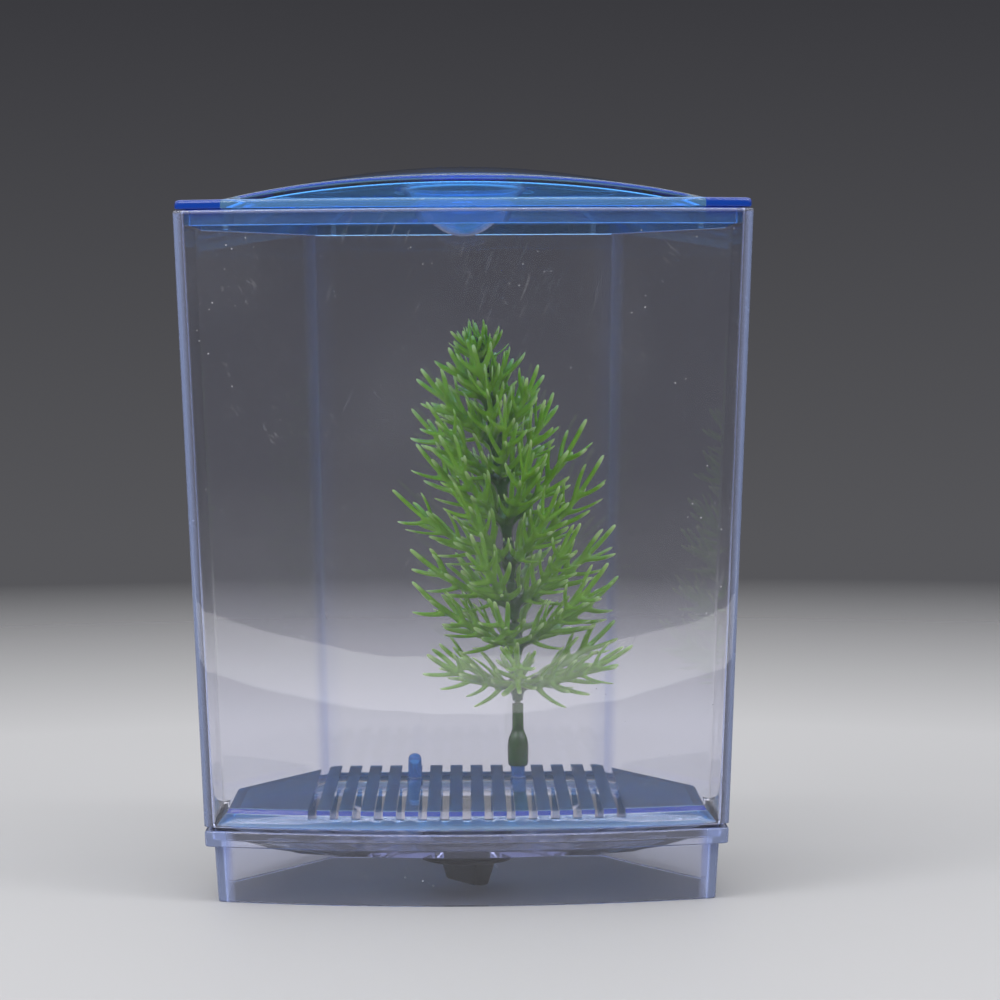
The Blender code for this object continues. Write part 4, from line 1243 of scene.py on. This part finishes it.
@dataclass
class Grate:
    """The blue grate: an inverted tray with slots from front to back and two pegs."""

    tank: Tank
    foot_z: float = 0.0194
    top_z: float = 0.0238
    side_gap: float = 0.0010
    flare: float = 0.0030
    sheet: float = 0.0016
    bead: float = 0.0007
    slots: int = 15
    pitch: float = 0.00555
    slot_width: float = 0.0022
    slot_depth: float = 0.0021
    slot_reach: float = 0.06
    slot_overrun: float = 0.004
    peg_x: float = 0.013875
    peg_y: float = 0.0176
    peg_radius: float = 0.0018
    peg_top: float = 0.0309
    peg_collar: float = 0.0021
    foot_round: float = 0.0003
    foot_inner_round: float = 0.0002
    face_step: float = 0.001
    soft_edge: float = 0.00012
    # Painted light and shade: deep-blue painted shade along the rounded upper edge, a pale cyan painted
    # highlight at the foot.
    painted_foot_highlight: float = 0.45
    foot_zone: float = 0.0004
    top_zone: float = 0.00005

    def painted_light_at(self, co: Vector) -> float:
        """How much light and shade is painted at a point: fully along the rounded upper edge, less at the
        foot.

        Args:
            co: The point.

        Returns:
            The value of the attribute "edge", the strength of the painted light and shade.
        """
        if co.z < self.foot_z + self.foot_zone:
            return self.painted_foot_highlight
        return float(self.top_z - 1.8 * self.bead < co.z < self.top_z - self.top_zone)

    def slot_tool(self) -> bmesh.types.BMesh:
        """All the slots as one cutter.

        Returns:
            The cutter.
        """
        tool = bmesh.new()
        for index in range(self.slots):
            x = (index - (self.slots - 1) / 2) * self.pitch
            block(tool, Vector((x - self.slot_width / 2, -self.slot_reach, self.top_z - self.slot_depth)),
                  Vector((x + self.slot_width / 2, self.slot_reach, self.top_z + self.slot_overrun)))
        return tool

    def peg_tool(self, x: float) -> bmesh.types.BMesh:
        """One peg with a low collar and a domed head.

        Args:
            x: The peg's place across the grate.

        Returns:
            The peg.
        """
        tool = bmesh.new()
        shoulder = self.peg_top - self.peg_radius
        profile = [(0.0, self.top_z - self.sheet), (self.peg_collar, self.top_z - self.sheet),
                   (self.peg_collar, self.top_z + 0.0004), (0.0020, self.top_z + 0.0006),
                   (self.peg_radius, self.top_z + 0.0008)]
        for degrees in (0, 18, 36, 54, 72, 90):
            angle = math.radians(degrees)
            profile.append((max(0.0, self.peg_radius * math.cos(angle)) if degrees < 90 else 0.0,
                            shoulder + self.peg_radius * math.sin(angle)))
        turned(tool, profile, Vector((x, self.peg_y, 0.0)), steps=32)
        return tool

    def build(self, finishes: Finishes) -> None:
        """Make the grate.

        Args:
            finishes: The finishes.
        """
        work = Moulding()
        foot = self.tank.plan_at(self.foot_z).inset(self.tank.wall + self.side_gap)
        top = foot.inset(self.flare)
        b = self.bead
        work.plan(top.inset(self.sheet + self.face_step), self.top_z - self.sheet)
        work.plan(top.inset(self.sheet), self.top_z - self.sheet)
        work.plan(foot.inset(self.sheet), self.foot_z + self.foot_inner_round)
        work.plan(foot.inset(self.sheet - self.foot_inner_round), self.foot_z)
        work.plan(foot.inset(self.foot_round), self.foot_z)
        work.plan(foot, self.foot_z + self.foot_round)
        for inset, drop in ((-2.9, 4.0), (-1.32, 2.1), (-0.95, 1.65), (-0.6, 1.2), (-0.35, 0.55),
                            (0.0, 0.15), (0.5, 0.0)):
            work.plan(top.inset(inset * b), self.top_z - drop * b)
        work.plan(top.inset(0.5 * b + self.face_step), self.top_z)
        piece = make_piece("grate_tray", work.bridge(closed=False))
        combine(piece, self.slot_tool(), "DIFFERENCE")
        for x in (-self.peg_x, self.peg_x):
            combine(piece, self.peg_tool(x), "UNION")
        paint_piece(piece, "edge", self.painted_light_at)
        soften = piece.modifiers.new("soften", "BEVEL")
        soften.width = self.soft_edge
        soften.segments = 2
        soften.limit_method = "ANGLE"
        soften.angle_limit = math.radians(50)
        settle(piece, Body.GRATE, finishes.grate, ["grate"])


# The drain


@dataclass
class Drain:
    """The black drain: a seat in the floor, a rubber seal and a quarter-turn knob."""

    axis: Vector = field(default_factory=lambda: Vector((0.0, -0.0232, 0.0)))
    port_inner: float = 0.0046
    port_outer: float = 0.0071
    port_sweep: float = math.radians(70)
    seat_port: tuple[float, float] = (0.008, 0.02)
    knob_port: tuple[float, float] = (0.005, 0.0115)
    grip_turn: float = math.radians(-58)
    grip_size: Triple = (0.0205, 0.0056, 0.0066)
    grip_z: float = 0.0061
    grip_taper: Triple = (0.73, 0.75, 1.0)
    grip_round: float = 0.0013
    grip_rim_round: float = 0.0006
    pointer_low: Triple = (-0.0114, -0.0012, 0.0062)
    pointer_high: Triple = (0.0, 0.0012, 0.0094)
    pointer_slant: float = 0.0023
    pointer_round: float = 0.00025
    seal_wire: float = 0.00050
    seal_radius: float = 0.01015
    seal_z: float = 0.0107
    bush_profile: tuple[tuple[float, float], ...] = (
        (0.0033, 0.0115), (0.0082, 0.0115), (0.0084, 0.0117), (0.0084, 0.0141), (0.0130, 0.0141),
        (0.0130, 0.0151), (0.0129, 0.0154), (0.0126, 0.0155), (0.0080, 0.0155), (0.0079, 0.0153),
        (0.0040, 0.0153), (0.0039, 0.0155), (0.0033, 0.0155), (0.0033, 0.0115))
    knob_profile: tuple[tuple[float, float], ...] = (
        (0.0, 0.0088), (0.0111, 0.0088), (0.0114, 0.0089), (0.0117, 0.0092), (0.0117, 0.0097),
        (0.0115, 0.0099), (0.0087, 0.0099), (0.0087, 0.0110), (0.0085, 0.0112), (0.0030, 0.0112),
        (0.0030, 0.0162), (0.0027, 0.0166), (0.0, 0.0166))

    def port_tool(self, turn: float, low: float, high: float) -> bmesh.types.BMesh:
        """A kidney-shaped port: an edge spun into a flat strip, then pushed upwards.

        Args:
            turn: Bearing of its middle in radians.
            low: Its lower end.
            high: Its upper end.

        Returns:
            The cutter.
        """
        tool = bmesh.new()
        start = Matrix.Rotation(turn - self.port_sweep / 2, 4, "Z")
        ends = [tool.verts.new(self.axis + start @ Vector((radius, 0.0, low)))
                for radius in (self.port_inner, self.port_outer)]
        edge = tool.edges.new(ends)
        bmesh.ops.spin(tool, geom=ends + [edge], cent=self.axis, axis=UPRIGHT, angle=self.port_sweep,
                       steps=14)
        raised = bmesh.ops.extrude_face_region(tool, geom=list(tool.faces))["geom"]
        bmesh.ops.translate(tool, vec=(0.0, 0.0, high - low),
                            verts=[item for item in raised if isinstance(item, bmesh.types.BMVert)])
        bmesh.ops.recalc_face_normals(tool, faces=tool.faces)
        return tool

    def build_seat(self, finishes: Finishes) -> None:
        """Bush in the tank's floor, with two ports.

        Args:
            finishes: The finishes.
        """
        mesh = bmesh.new()
        turned(mesh, self.bush_profile, self.axis)
        piece = make_piece("drain_bush", mesh)
        for turn in (0.0, math.pi):
            combine(piece, self.port_tool(turn, *self.seat_port), "DIFFERENCE")
        settle(piece, Body.TANK, finishes.black, ["drain_seat"])

    def build_seal(self, finishes: Finishes) -> None:
        """Rubber ring under the floor.

        Args:
            finishes: The finishes.
        """
        mesh = bmesh.new()
        circle = bmesh.ops.create_circle(mesh, cap_ends=False, segments=16, radius=self.seal_wire,
                                         matrix=Matrix.Rotation(math.pi / 2, 4, "X"))["verts"]
        bmesh.ops.scale(mesh, vec=(2.3, 1.0, 1.0), verts=circle)
        bmesh.ops.translate(mesh, vec=self.axis + Vector((self.seal_radius, 0.0, self.seal_z)), verts=circle)
        bmesh.ops.spin(mesh, geom=list(mesh.verts) + list(mesh.edges), cent=self.axis, axis=UPRIGHT,
                       angle=2 * math.pi, steps=72, use_merge=True)
        bmesh.ops.recalc_face_normals(mesh, faces=mesh.faces)
        piece = make_piece("drain_seal_ring", mesh)
        settle(piece, Body.TANK, finishes.rubber, ["drain_seal"], Shade.SMOOTH)

    def grip_tool(self) -> bmesh.types.BMesh:
        """The bar that fingers turn, tapering downwards.

        Returns:
            The bar.
        """
        tool = bmesh.new()
        made = bmesh.ops.create_cube(tool, size=1.0)["verts"]
        bmesh.ops.scale(tool, vec=self.grip_size, verts=made)
        lower = [vert for vert in made if vert.co.z < 0]
        bmesh.ops.scale(tool, vec=self.grip_taper, verts=lower)
        height = self.grip_size[2]
        upright = [edge for edge in tool.edges if abs(edge.verts[0].co.z - edge.verts[1].co.z) > height / 2]
        bmesh.ops.bevel(tool, geom=upright, offset=self.grip_round, segments=4, profile=0.5, affect="EDGES",
                        material=-1)
        rims = [edge for edge in tool.edges if all(vert.co.z < -0.45 * height for vert in edge.verts)]
        bmesh.ops.bevel(tool, geom=rims, offset=self.grip_rim_round, segments=3, profile=0.5, affect="EDGES",
                        material=-1)
        bmesh.ops.rotate(tool, matrix=Matrix.Rotation(self.grip_turn, 3, "Z"), verts=tool.verts)
        bmesh.ops.translate(tool, vec=self.axis + Vector((0.0, 0.0, self.grip_z)), verts=tool.verts)
        return tool

    def pointer_tool(self) -> bmesh.types.BMesh:
        """A slanted fin from the grip to the flange's rim.

        Returns:
            The fin.
        """
        tool = bmesh.new()
        low = Vector(self.pointer_low)
        high = Vector(self.pointer_high)
        block(tool, low, high)
        middle = (low + high) / 2
        tip = [vert for vert in tool.verts if vert.co.x < middle.x and vert.co.z < middle.z]
        bmesh.ops.translate(tool, vec=(0.0, 0.0, self.pointer_slant), verts=tip)
        bmesh.ops.bevel(tool, geom=list(tool.edges), offset=self.pointer_round, segments=2, profile=0.5,
                        affect="EDGES", material=-1)
        bmesh.ops.translate(tool, vec=self.axis, verts=tool.verts)
        return tool

    def build_knob(self, finishes: Finishes) -> None:
        """Quarter-turn knob: flange, boss, spindle, ports, grip and pointer.

        Args:
            finishes: The finishes.
        """
        mesh = bmesh.new()
        turned(mesh, self.knob_profile, self.axis)
        piece = make_piece("drain_knob_grip", mesh)
        for turn in (math.pi / 2, -math.pi / 2):
            combine(piece, self.port_tool(turn, *self.knob_port), "DIFFERENCE")
        combine(piece, self.grip_tool(), "UNION")
        combine(piece, self.pointer_tool(), "UNION")
        settle(piece, Body.KNOB, finishes.black, ["drain_knob"])

    def build(self, finishes: Finishes) -> None:
        """Make the three pieces of the drain.

        Args:
            finishes: The finishes.
        """
        self.build_seat(finishes)
        self.build_seal(finishes)
        self.build_knob(finishes)


# The plant


@dataclass
class Plant:
    """The plastic plant: a sleeve on its peg, a rod and nine whorls of forked branches."""

    foot: Vector = field(default_factory=lambda: Vector((0.013875, 0.0176, 0.0273)))
    bulb_radius: float = 0.0028
    bulb_height: float = 0.0100
    neck_radius: float = 0.0015
    rod_radius: float = 0.0008
    stem_z: float = 0.0445
    whorls: int = 9
    pitch: float = 0.0110
    lean: float = -0.0204
    bow: float = -0.00835
    bore_radius: float = 0.0021
    bore_depth: float = 0.0042
    tube_radius: float = 0.00175
    tube_wall: float = 0.0004
    branch_width: float = 0.0020
    branches: int = 6
    length: float = 0.0380
    lengths: tuple[float, ...] = (0.98, 1.00, 1.00, 1.02, 0.99, 0.90, 0.74, 0.52, 0.22)
    rises: tuple[float, ...] = (12, 22, 28, 33, 38, 43, 49, 57, 70)
    needle: float = 0.0098
    needle_steps: tuple[tuple[float, float, float, float], ...] = (
        (0.10, 0.82, 0.0, 0.40), (0.26, 1.0, 0.25, 0.50), (0.28, 0.97, 0.60, 0.66),
        (0.24, 0.88, 0.90, 0.86), (0.12, 0.62, 1.0, 1.0))
    stage_length: float = 0.0086
    back_shrink: float = 0.24
    sway: float = 0.13

    def stem_point(self, z: float) -> Vector:
        """Centre of the stem at a height.

        Args:
            z: The height.

        Returns:
            The centre.
        """
        above = max(0.0, z - self.stem_z)
        height = self.whorls * self.pitch
        return Vector((self.foot.x + self.lean * above + self.bow * (above / height) ** 2, self.foot.y, z))

    def stem_tilt(self, z: float) -> float:
        """Lean of the stem from the vertical, about Y."""
        above = max(0.0, z - self.stem_z)
        return math.atan(self.lean + 2 * self.bow * above / (self.whorls * self.pitch) ** 2)

    def build_stem(self, finishes: Finishes) -> None:
        """Sleeve, bulb, neck and rod as one turned form that follows the stem.

        Args:
            finishes: The finishes.
        """
        work = Moulding()
        foot = self.foot.z
        top = self.stem_z + (self.whorls - 0.5) * self.pitch
        profile = [(self.bore_radius, foot + self.bore_depth), (self.bore_radius, foot + 0.0002),
                   (0.0022, foot), (0.0024, foot + 0.0001)]
        for share, radius in ((0.04, 0.0026), (0.15, 0.00275), (0.35, self.bulb_radius),
                              (0.55, self.bulb_radius), (0.70, 0.0026), (0.82, 0.0022), (0.91, 0.0018),
                              (1.0, 0.00155)):
            profile.append((radius, foot + self.bulb_height * share))
        profile += [(self.neck_radius, foot + 0.013), (self.neck_radius, self.stem_z - 0.0004),
                    (0.0013, self.stem_z - 0.0003), (self.rod_radius, self.stem_z - 0.0003)]
        profile += [(self.rod_radius, self.stem_z + (top - self.stem_z) * step / 16) for step in range(1, 17)]
        for radius, z in profile:
            work.circle(radius, self.stem_point(z), 28)
        mesh = work.bridge(closed=False)
        piece = make_piece("plant_rod", mesh)
        settle(piece, Body.PLANT, finishes.leaf, ["plant_stem"])

    def grow(self, mesh: bmesh.types.BMesh, face: bmesh.types.BMFace, direction: Vector, length: float,
             width: float, reach: float, twist: float = 0.0) -> bmesh.types.BMFace:
        """Push a face out along a direction, shrink it and twist it.

        Args:
            mesh: The whorl so far.
            face: The face to push.
            direction: Where to.
            length: How far.
            width: The new face's size as a share of the old one's.
            reach: How near it lies to a tip, from 0 to 1.
            twist: Turn of the new face about the direction, in radians.

        Returns:
            The new end face.
        """
        new = bmesh.ops.extrude_discrete_faces(mesh, faces=[face])["faces"][0]
        centre = new.calc_center_median()
        bmesh.ops.scale(mesh, vec=(width, width, width), verts=new.verts, space=Matrix.Translation(-centre))
        if twist:
            bmesh.ops.rotate(mesh, cent=centre, matrix=Matrix.Rotation(twist, 3, direction), verts=new.verts)
        bmesh.ops.translate(mesh, vec=direction * length, verts=new.verts)
        layer = mesh.verts.layers.float["reach"]
        for vert in new.verts:
            vert[layer] = reach
        return new

    def needle_from(self, mesh: bmesh.types.BMesh, face: bmesh.types.BMFace, outward: Vector, along: Vector,
                    length: float) -> None:
        """A needle that leaves a branch's side and curves along it, with a blunt tip.

        Args:
            mesh: The whorl so far.
            face: The face that it grows from.
            outward: Where it leaves to.
            along: Where it curves to.
            length: Its length.
        """
        end = face
        for run, width, turn, reach in self.needle_steps:
            direction = (outward + along * turn).normalized()
            end = self.grow(mesh, end, direction, length * run, width, reach)

    def side_faces(self, end: bmesh.types.BMFace) -> list[bmesh.types.BMFace]:
        """The faces round the last grown piece, beside its end face."""
        return [face for edge in end.edges for face in edge.link_faces if face is not end]

    def branch(self, mesh: bmesh.types.BMesh, root: bmesh.types.BMFace, outward: Vector, rise: float,
               length: float, phase: float) -> None:
        """A forked branch: it climbs in steps and throws needles to all sides.

        Args:
            mesh: The whorl so far.
            root: The face that it grows from.
            outward: Level direction away from the stem.
            rise: Its climb in radians.
            length: Its length with the last needle.
            phase: A number that varies its needles.
        """
        vertical = Vector(UPRIGHT)
        direction = (outward * math.cos(rise) + vertical * math.sin(rise)).normalized()
        across = outward.cross(vertical).normalized()
        fullness = 0.62 + 0.38 * min(1.0, length / self.length)
        stages = max(2, round(length / self.stage_length))
        pitch = length * 0.59 / stages
        end = self.grow(mesh, root, direction, length * 0.10, 1.12, 0.08)
        for stage in range(stages):
            share = 0.14 + 0.30 * (stage + 1) / stages
            end = self.grow(mesh, end, direction, pitch * 0.44, 0.985, share)
            for side, face in enumerate(self.side_faces(end)):
                if (side + stage * 2 + round(phase)) % 4 == 3:
                    continue
                face.normal_update()
                away = (face.normal - direction * face.normal.dot(direction)).normalized()
                wobble = math.sin(5.1 * stage + 3.3 * phase + 7.0 * away.dot(across) + 2.0 * away.z)
                leave = (away + direction * (0.85 + 0.25 * wobble)).normalized()
                taper = 1.10 - 0.30 * stage / stages + 0.10 * wobble
                self.needle_from(mesh, face, leave, direction, self.needle * fullness * taper)
            direction = (direction + vertical * 0.30 / stages).normalized()
            if stage < stages - 1:
                turn = math.radians(36 + 14 * math.sin(1.7 * phase + stage))
                end = self.grow(mesh, end, direction, pitch * 0.56, 0.97, share + 0.03, turn)
        self.needle_from(mesh, end, direction, vertical * 0.15, length * 0.30)

    def build_whorl(self, index: int, finishes: Finishes) -> None:
        """One tier: a six-sided tube on the rod, with a ring of branches, smoothed all over.

        Args:
            index: Which tier, from 0 at the bottom.
            finishes: The finishes.
        """
        low = SEAT_GAP / 2
        high = self.pitch - SEAT_GAP / 2
        band = self.pitch * 0.30
        turn = math.pi / self.branches * (index % 2) + math.radians(20) * index
        spin = Matrix.Rotation(turn - math.pi / self.branches, 4, "Z")
        work = Moulding()
        work.mesh.verts.layers.float.new("reach")
        inner = self.tube_radius - self.tube_wall
        for radius, z in ((inner, low), (self.tube_radius, low), (self.tube_radius, band),
                          (self.tube_radius, band + self.branch_width), (self.tube_radius, high),
                          (inner, high)):
            ring = work.circle(radius, Vector((0.0, 0.0, z)), self.branches)
            bmesh.ops.rotate(work.mesh, matrix=spin, verts=ring)
        mesh = work.bridge(closed=True)
        middle = band + self.branch_width / 2
        near = 0.15 * self.branch_width
        roots = [face for face in mesh.faces if abs(face.calc_center_median().z - middle) < near
                 and face.calc_center_median().xy.length > self.tube_radius * 0.85]
        roots.sort(key=lambda face: math.atan2(*face.calc_center_median().yx))
        for side, root in enumerate(roots):
            outward = root.calc_center_median().xy.to_3d().normalized()
            wobble = math.sin(2.7 * side + 1.9 * index)
            rise = math.radians(self.rises[index]) + math.radians(5) * wobble
            length = self.length * self.lengths[index]
            uneven = 1 + 0.06 * math.sin(2.7 * (side + index) + 11.4)
            length *= uneven * (1 - self.back_shrink * max(0.0, outward.y))
            length *= 1 + self.sway * outward.x * (3.5 - index) / 3.5
            self.branch(mesh, root, outward, rise, length, side + 6.0 * index)
        bmesh.ops.recalc_face_normals(mesh, faces=mesh.faces)
        tilt = self.stem_tilt(self.stem_z + (index + 0.5) * self.pitch)
        bmesh.ops.rotate(mesh, matrix=Matrix.Rotation(tilt, 3, "Y"), verts=mesh.verts)
        bmesh.ops.translate(mesh, vec=self.stem_point(self.stem_z + index * self.pitch), verts=mesh.verts)
        piece = make_piece("plant_tier_%02d" % (index + 1), mesh)
        smooth = piece.modifiers.new("smooth", "SUBSURF")
        smooth.levels = 1
        smooth.render_levels = 1
        settle(piece, Body.PLANT, finishes.leaf, ["plant_whorl_%02d" % (index + 1)], Shade.SMOOTH)

    def build(self, finishes: Finishes) -> None:
        """Make the stem and the nine tiers.

        Args:
            finishes: The finishes.
        """
        self.build_stem(finishes)
        for index in range(self.whorls):
            self.build_whorl(index, finishes)


# The studio


@dataclass
class Studio:
    """Pale floor, soft lamps, a plain backdrop and the photograph's camera."""

    floor_radius: float = 1.3
    floor_colour: Triple = (0.45, 0.45, 0.465)
    floor_rough: float = 0.55
    fade: tuple[float, float] = (0.35, 1.05)
    light_low: float = 0.30
    light_high: float = 1.30
    key: Triple = (-0.45, -0.60, 0.66)
    greys: tuple[tuple[float, Triple], ...] = (
        (0.0, (0.062, 0.062, 0.067)), (0.24, (0.062, 0.062, 0.067)), (0.36, (0.028, 0.028, 0.032)),
        (0.46, (0.052, 0.052, 0.057)), (0.57, (0.50, 0.51, 0.54)), (0.74, (1.0, 1.0, 1.0)))
    grey_strength: float = 1.5
    lens: float = 118.1
    camera_place: Triple = (0.0, -0.8625, 0.1444)
    camera_turn: Triple = (90.0 - 2.955, 0.30, -0.627)

    def floor(self) -> None:
        """A pale round floor that fades into the backdrop with distance."""
        mesh = bmesh.new()
        bmesh.ops.create_circle(mesh, cap_ends=True, segments=96, radius=self.floor_radius)
        piece = make_piece("studio_floor", mesh)
        material = bpy.data.materials.new("pale_floor")
        material.use_nodes = True
        graph = Graph(material.node_tree)
        shader = material.node_tree.nodes["Principled BSDF"]
        shader.inputs["Base Color"].default_value = (*self.floor_colour, 1.0)
        shader.inputs["Roughness"].default_value = self.floor_rough
        distance = graph.add("VectorMath", operation="LENGTH")
        graph.join(graph.place(), distance.inputs[0])
        fade = graph.add("MixShader")
        graph.join(graph.span(distance.outputs["Value"], *self.fade, 0.0, 1.0), fade.inputs["Fac"])
        graph.join(shader.outputs["BSDF"], fade.inputs[1])
        graph.join(graph.add("BsdfTransparent").outputs["BSDF"], fade.inputs[2])
        output = next(node for node in material.node_tree.nodes if node.type == "OUTPUT_MATERIAL")
        graph.join(fade.outputs["Shader"], output.inputs["Surface"])
        piece.data.materials.append(material)

    def backdrop(self) -> None:
        """Soft light, stronger from the upper front left, and a plain grey backdrop where it is seen."""
        world = bpy.data.worlds.new("studio")
        bpy.context.scene.world = world
        world.use_nodes = True
        graph = Graph(world.node_tree)
        way = graph.add("TexCoord").outputs["Generated"]
        light = world.node_tree.nodes["Background"]
        light.inputs["Color"].default_value = (1.0, 1.0, 1.0, 1.0)
        facing = graph.add("VectorMath", operation="DOT_PRODUCT")
        facing.inputs[1].default_value = self.key
        graph.join(way, facing.inputs[0])
        graph.join(graph.span(facing.outputs["Value"], -0.7, 1.0, self.light_low, self.light_high),
                   light.inputs["Strength"])
        path = graph.add("LightPath")
        # Eyes, mirrors and glass see the greys; after a diffuse bounce the soft light counts.
        seen = graph.maths("ADD", path.outputs["Is Camera Ray"], path.outputs["Is Glossy Ray"])
        seen = graph.maths("ADD", seen, path.outputs["Is Transmission Ray"])
        direct = graph.maths("LESS_THAN", path.outputs["Diffuse Depth"], 0.5)
        shown = graph.maths("MULTIPLY", graph.maths("MINIMUM", seen, 1.0), direct)
        axes = graph.add("SeparateXYZ")
        graph.join(way, axes.inputs["Vector"])
        aside = graph.span(graph.maths("ABSOLUTE", axes.outputs["X"], 0.0), 0.5, 0.95, 0.0, 0.15)
        height = graph.span(axes.outputs["Z"], -0.4, 1.0, 0.0, 1.0)
        grey = graph.colours(graph.maths("ADD", height, aside), self.greys)
        view = graph.add("Background")
        graph.join(grey, view.inputs["Color"])
        view.inputs["Strength"].default_value = self.grey_strength
        mix = graph.add("MixShader")
        graph.join(shown, mix.inputs["Fac"])
        graph.join(light.outputs["Background"], mix.inputs[1])
        graph.join(view.outputs["Background"], mix.inputs[2])
        output = next(node for node in world.node_tree.nodes if node.type == "OUTPUT_WORLD")
        graph.join(mix.outputs["Shader"], output.inputs["Surface"])

    def lamp(self, name: str, place: Vector, aim: Vector, size: tuple[float, float],
             power: float) -> bpy.types.Object:
        """A soft rectangular lamp aimed at a point.

        Args:
            name: The lamp's name.
            place: Where it hangs.
            aim: What it faces.
            size: Its width and height.
            power: Its power in watts.

        Returns:
            The lamp.
        """
        data = bpy.data.lights.new(name, "AREA")
        data.shape = "RECTANGLE"
        data.size, data.size_y = size
        data.energy = power
        lamp = bpy.data.objects.new(name, data)
        bpy.context.scene.collection.objects.link(lamp)
        lamp.location = place
        lamp.rotation_euler = (aim - place).to_track_quat("-Z", "Y").to_euler()
        lamp.visible_camera = False
        return lamp

    def lamps(self) -> None:
        """Two soft boxes, a strip overhead, and a low strip that the bowed front mirrors."""
        aim = Vector((0.0, 0.0, 0.09))
        self.lamp("left_box", Vector((-0.75, -0.75, 0.85)), aim, (0.45, 0.45), 3.0)
        self.lamp("right_box", Vector((0.85, -0.60, 0.75)), aim, (0.40, 0.40), 2.0)
        self.lamp("overhead_strip", Vector((0.0, -0.35, 0.95)), aim, (1.4, 0.08), 3.4)
        low = self.lamp("low_strip", Vector((0.0, -0.352, 0.004)), Vector((0.0, -0.352, 1.0)), (1.3, 0.11),
                        1.05)
        low.visible_transmission = False

    def camera(self) -> None:
        """The photograph's camera: level with the tank's top third, tilted a little down."""
        data = bpy.data.cameras.new("photograph")
        data.sensor_width = 36.0
        data.lens = self.lens
        camera = bpy.data.objects.new("photograph", data)
        bpy.context.scene.collection.objects.link(camera)
        camera.location = self.camera_place
        camera.rotation_euler = [math.radians(angle) for angle in self.camera_turn]
        bpy.context.scene.camera = camera

    def build(self) -> None:
        """Set up the studio."""
        bpy.context.scene.view_settings.view_transform = "Standard"
        self.floor()
        self.backdrop()
        self.lamps()
        self.camera()


def main() -> None:
    """Build the studio and every piece."""
    logging.basicConfig(level=logging.INFO, format="%(message)s")
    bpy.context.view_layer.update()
    Studio().build()
    finishes = Finishes()
    tank = Tank()
    tank.build(finishes)
    Stand(tank).build(finishes)
    Lid(tank).build(finishes)
    Grate(tank).build(finishes)
    Drain().build(finishes)
    Plant().build(finishes)


if __name__ == "__main__":
    main()
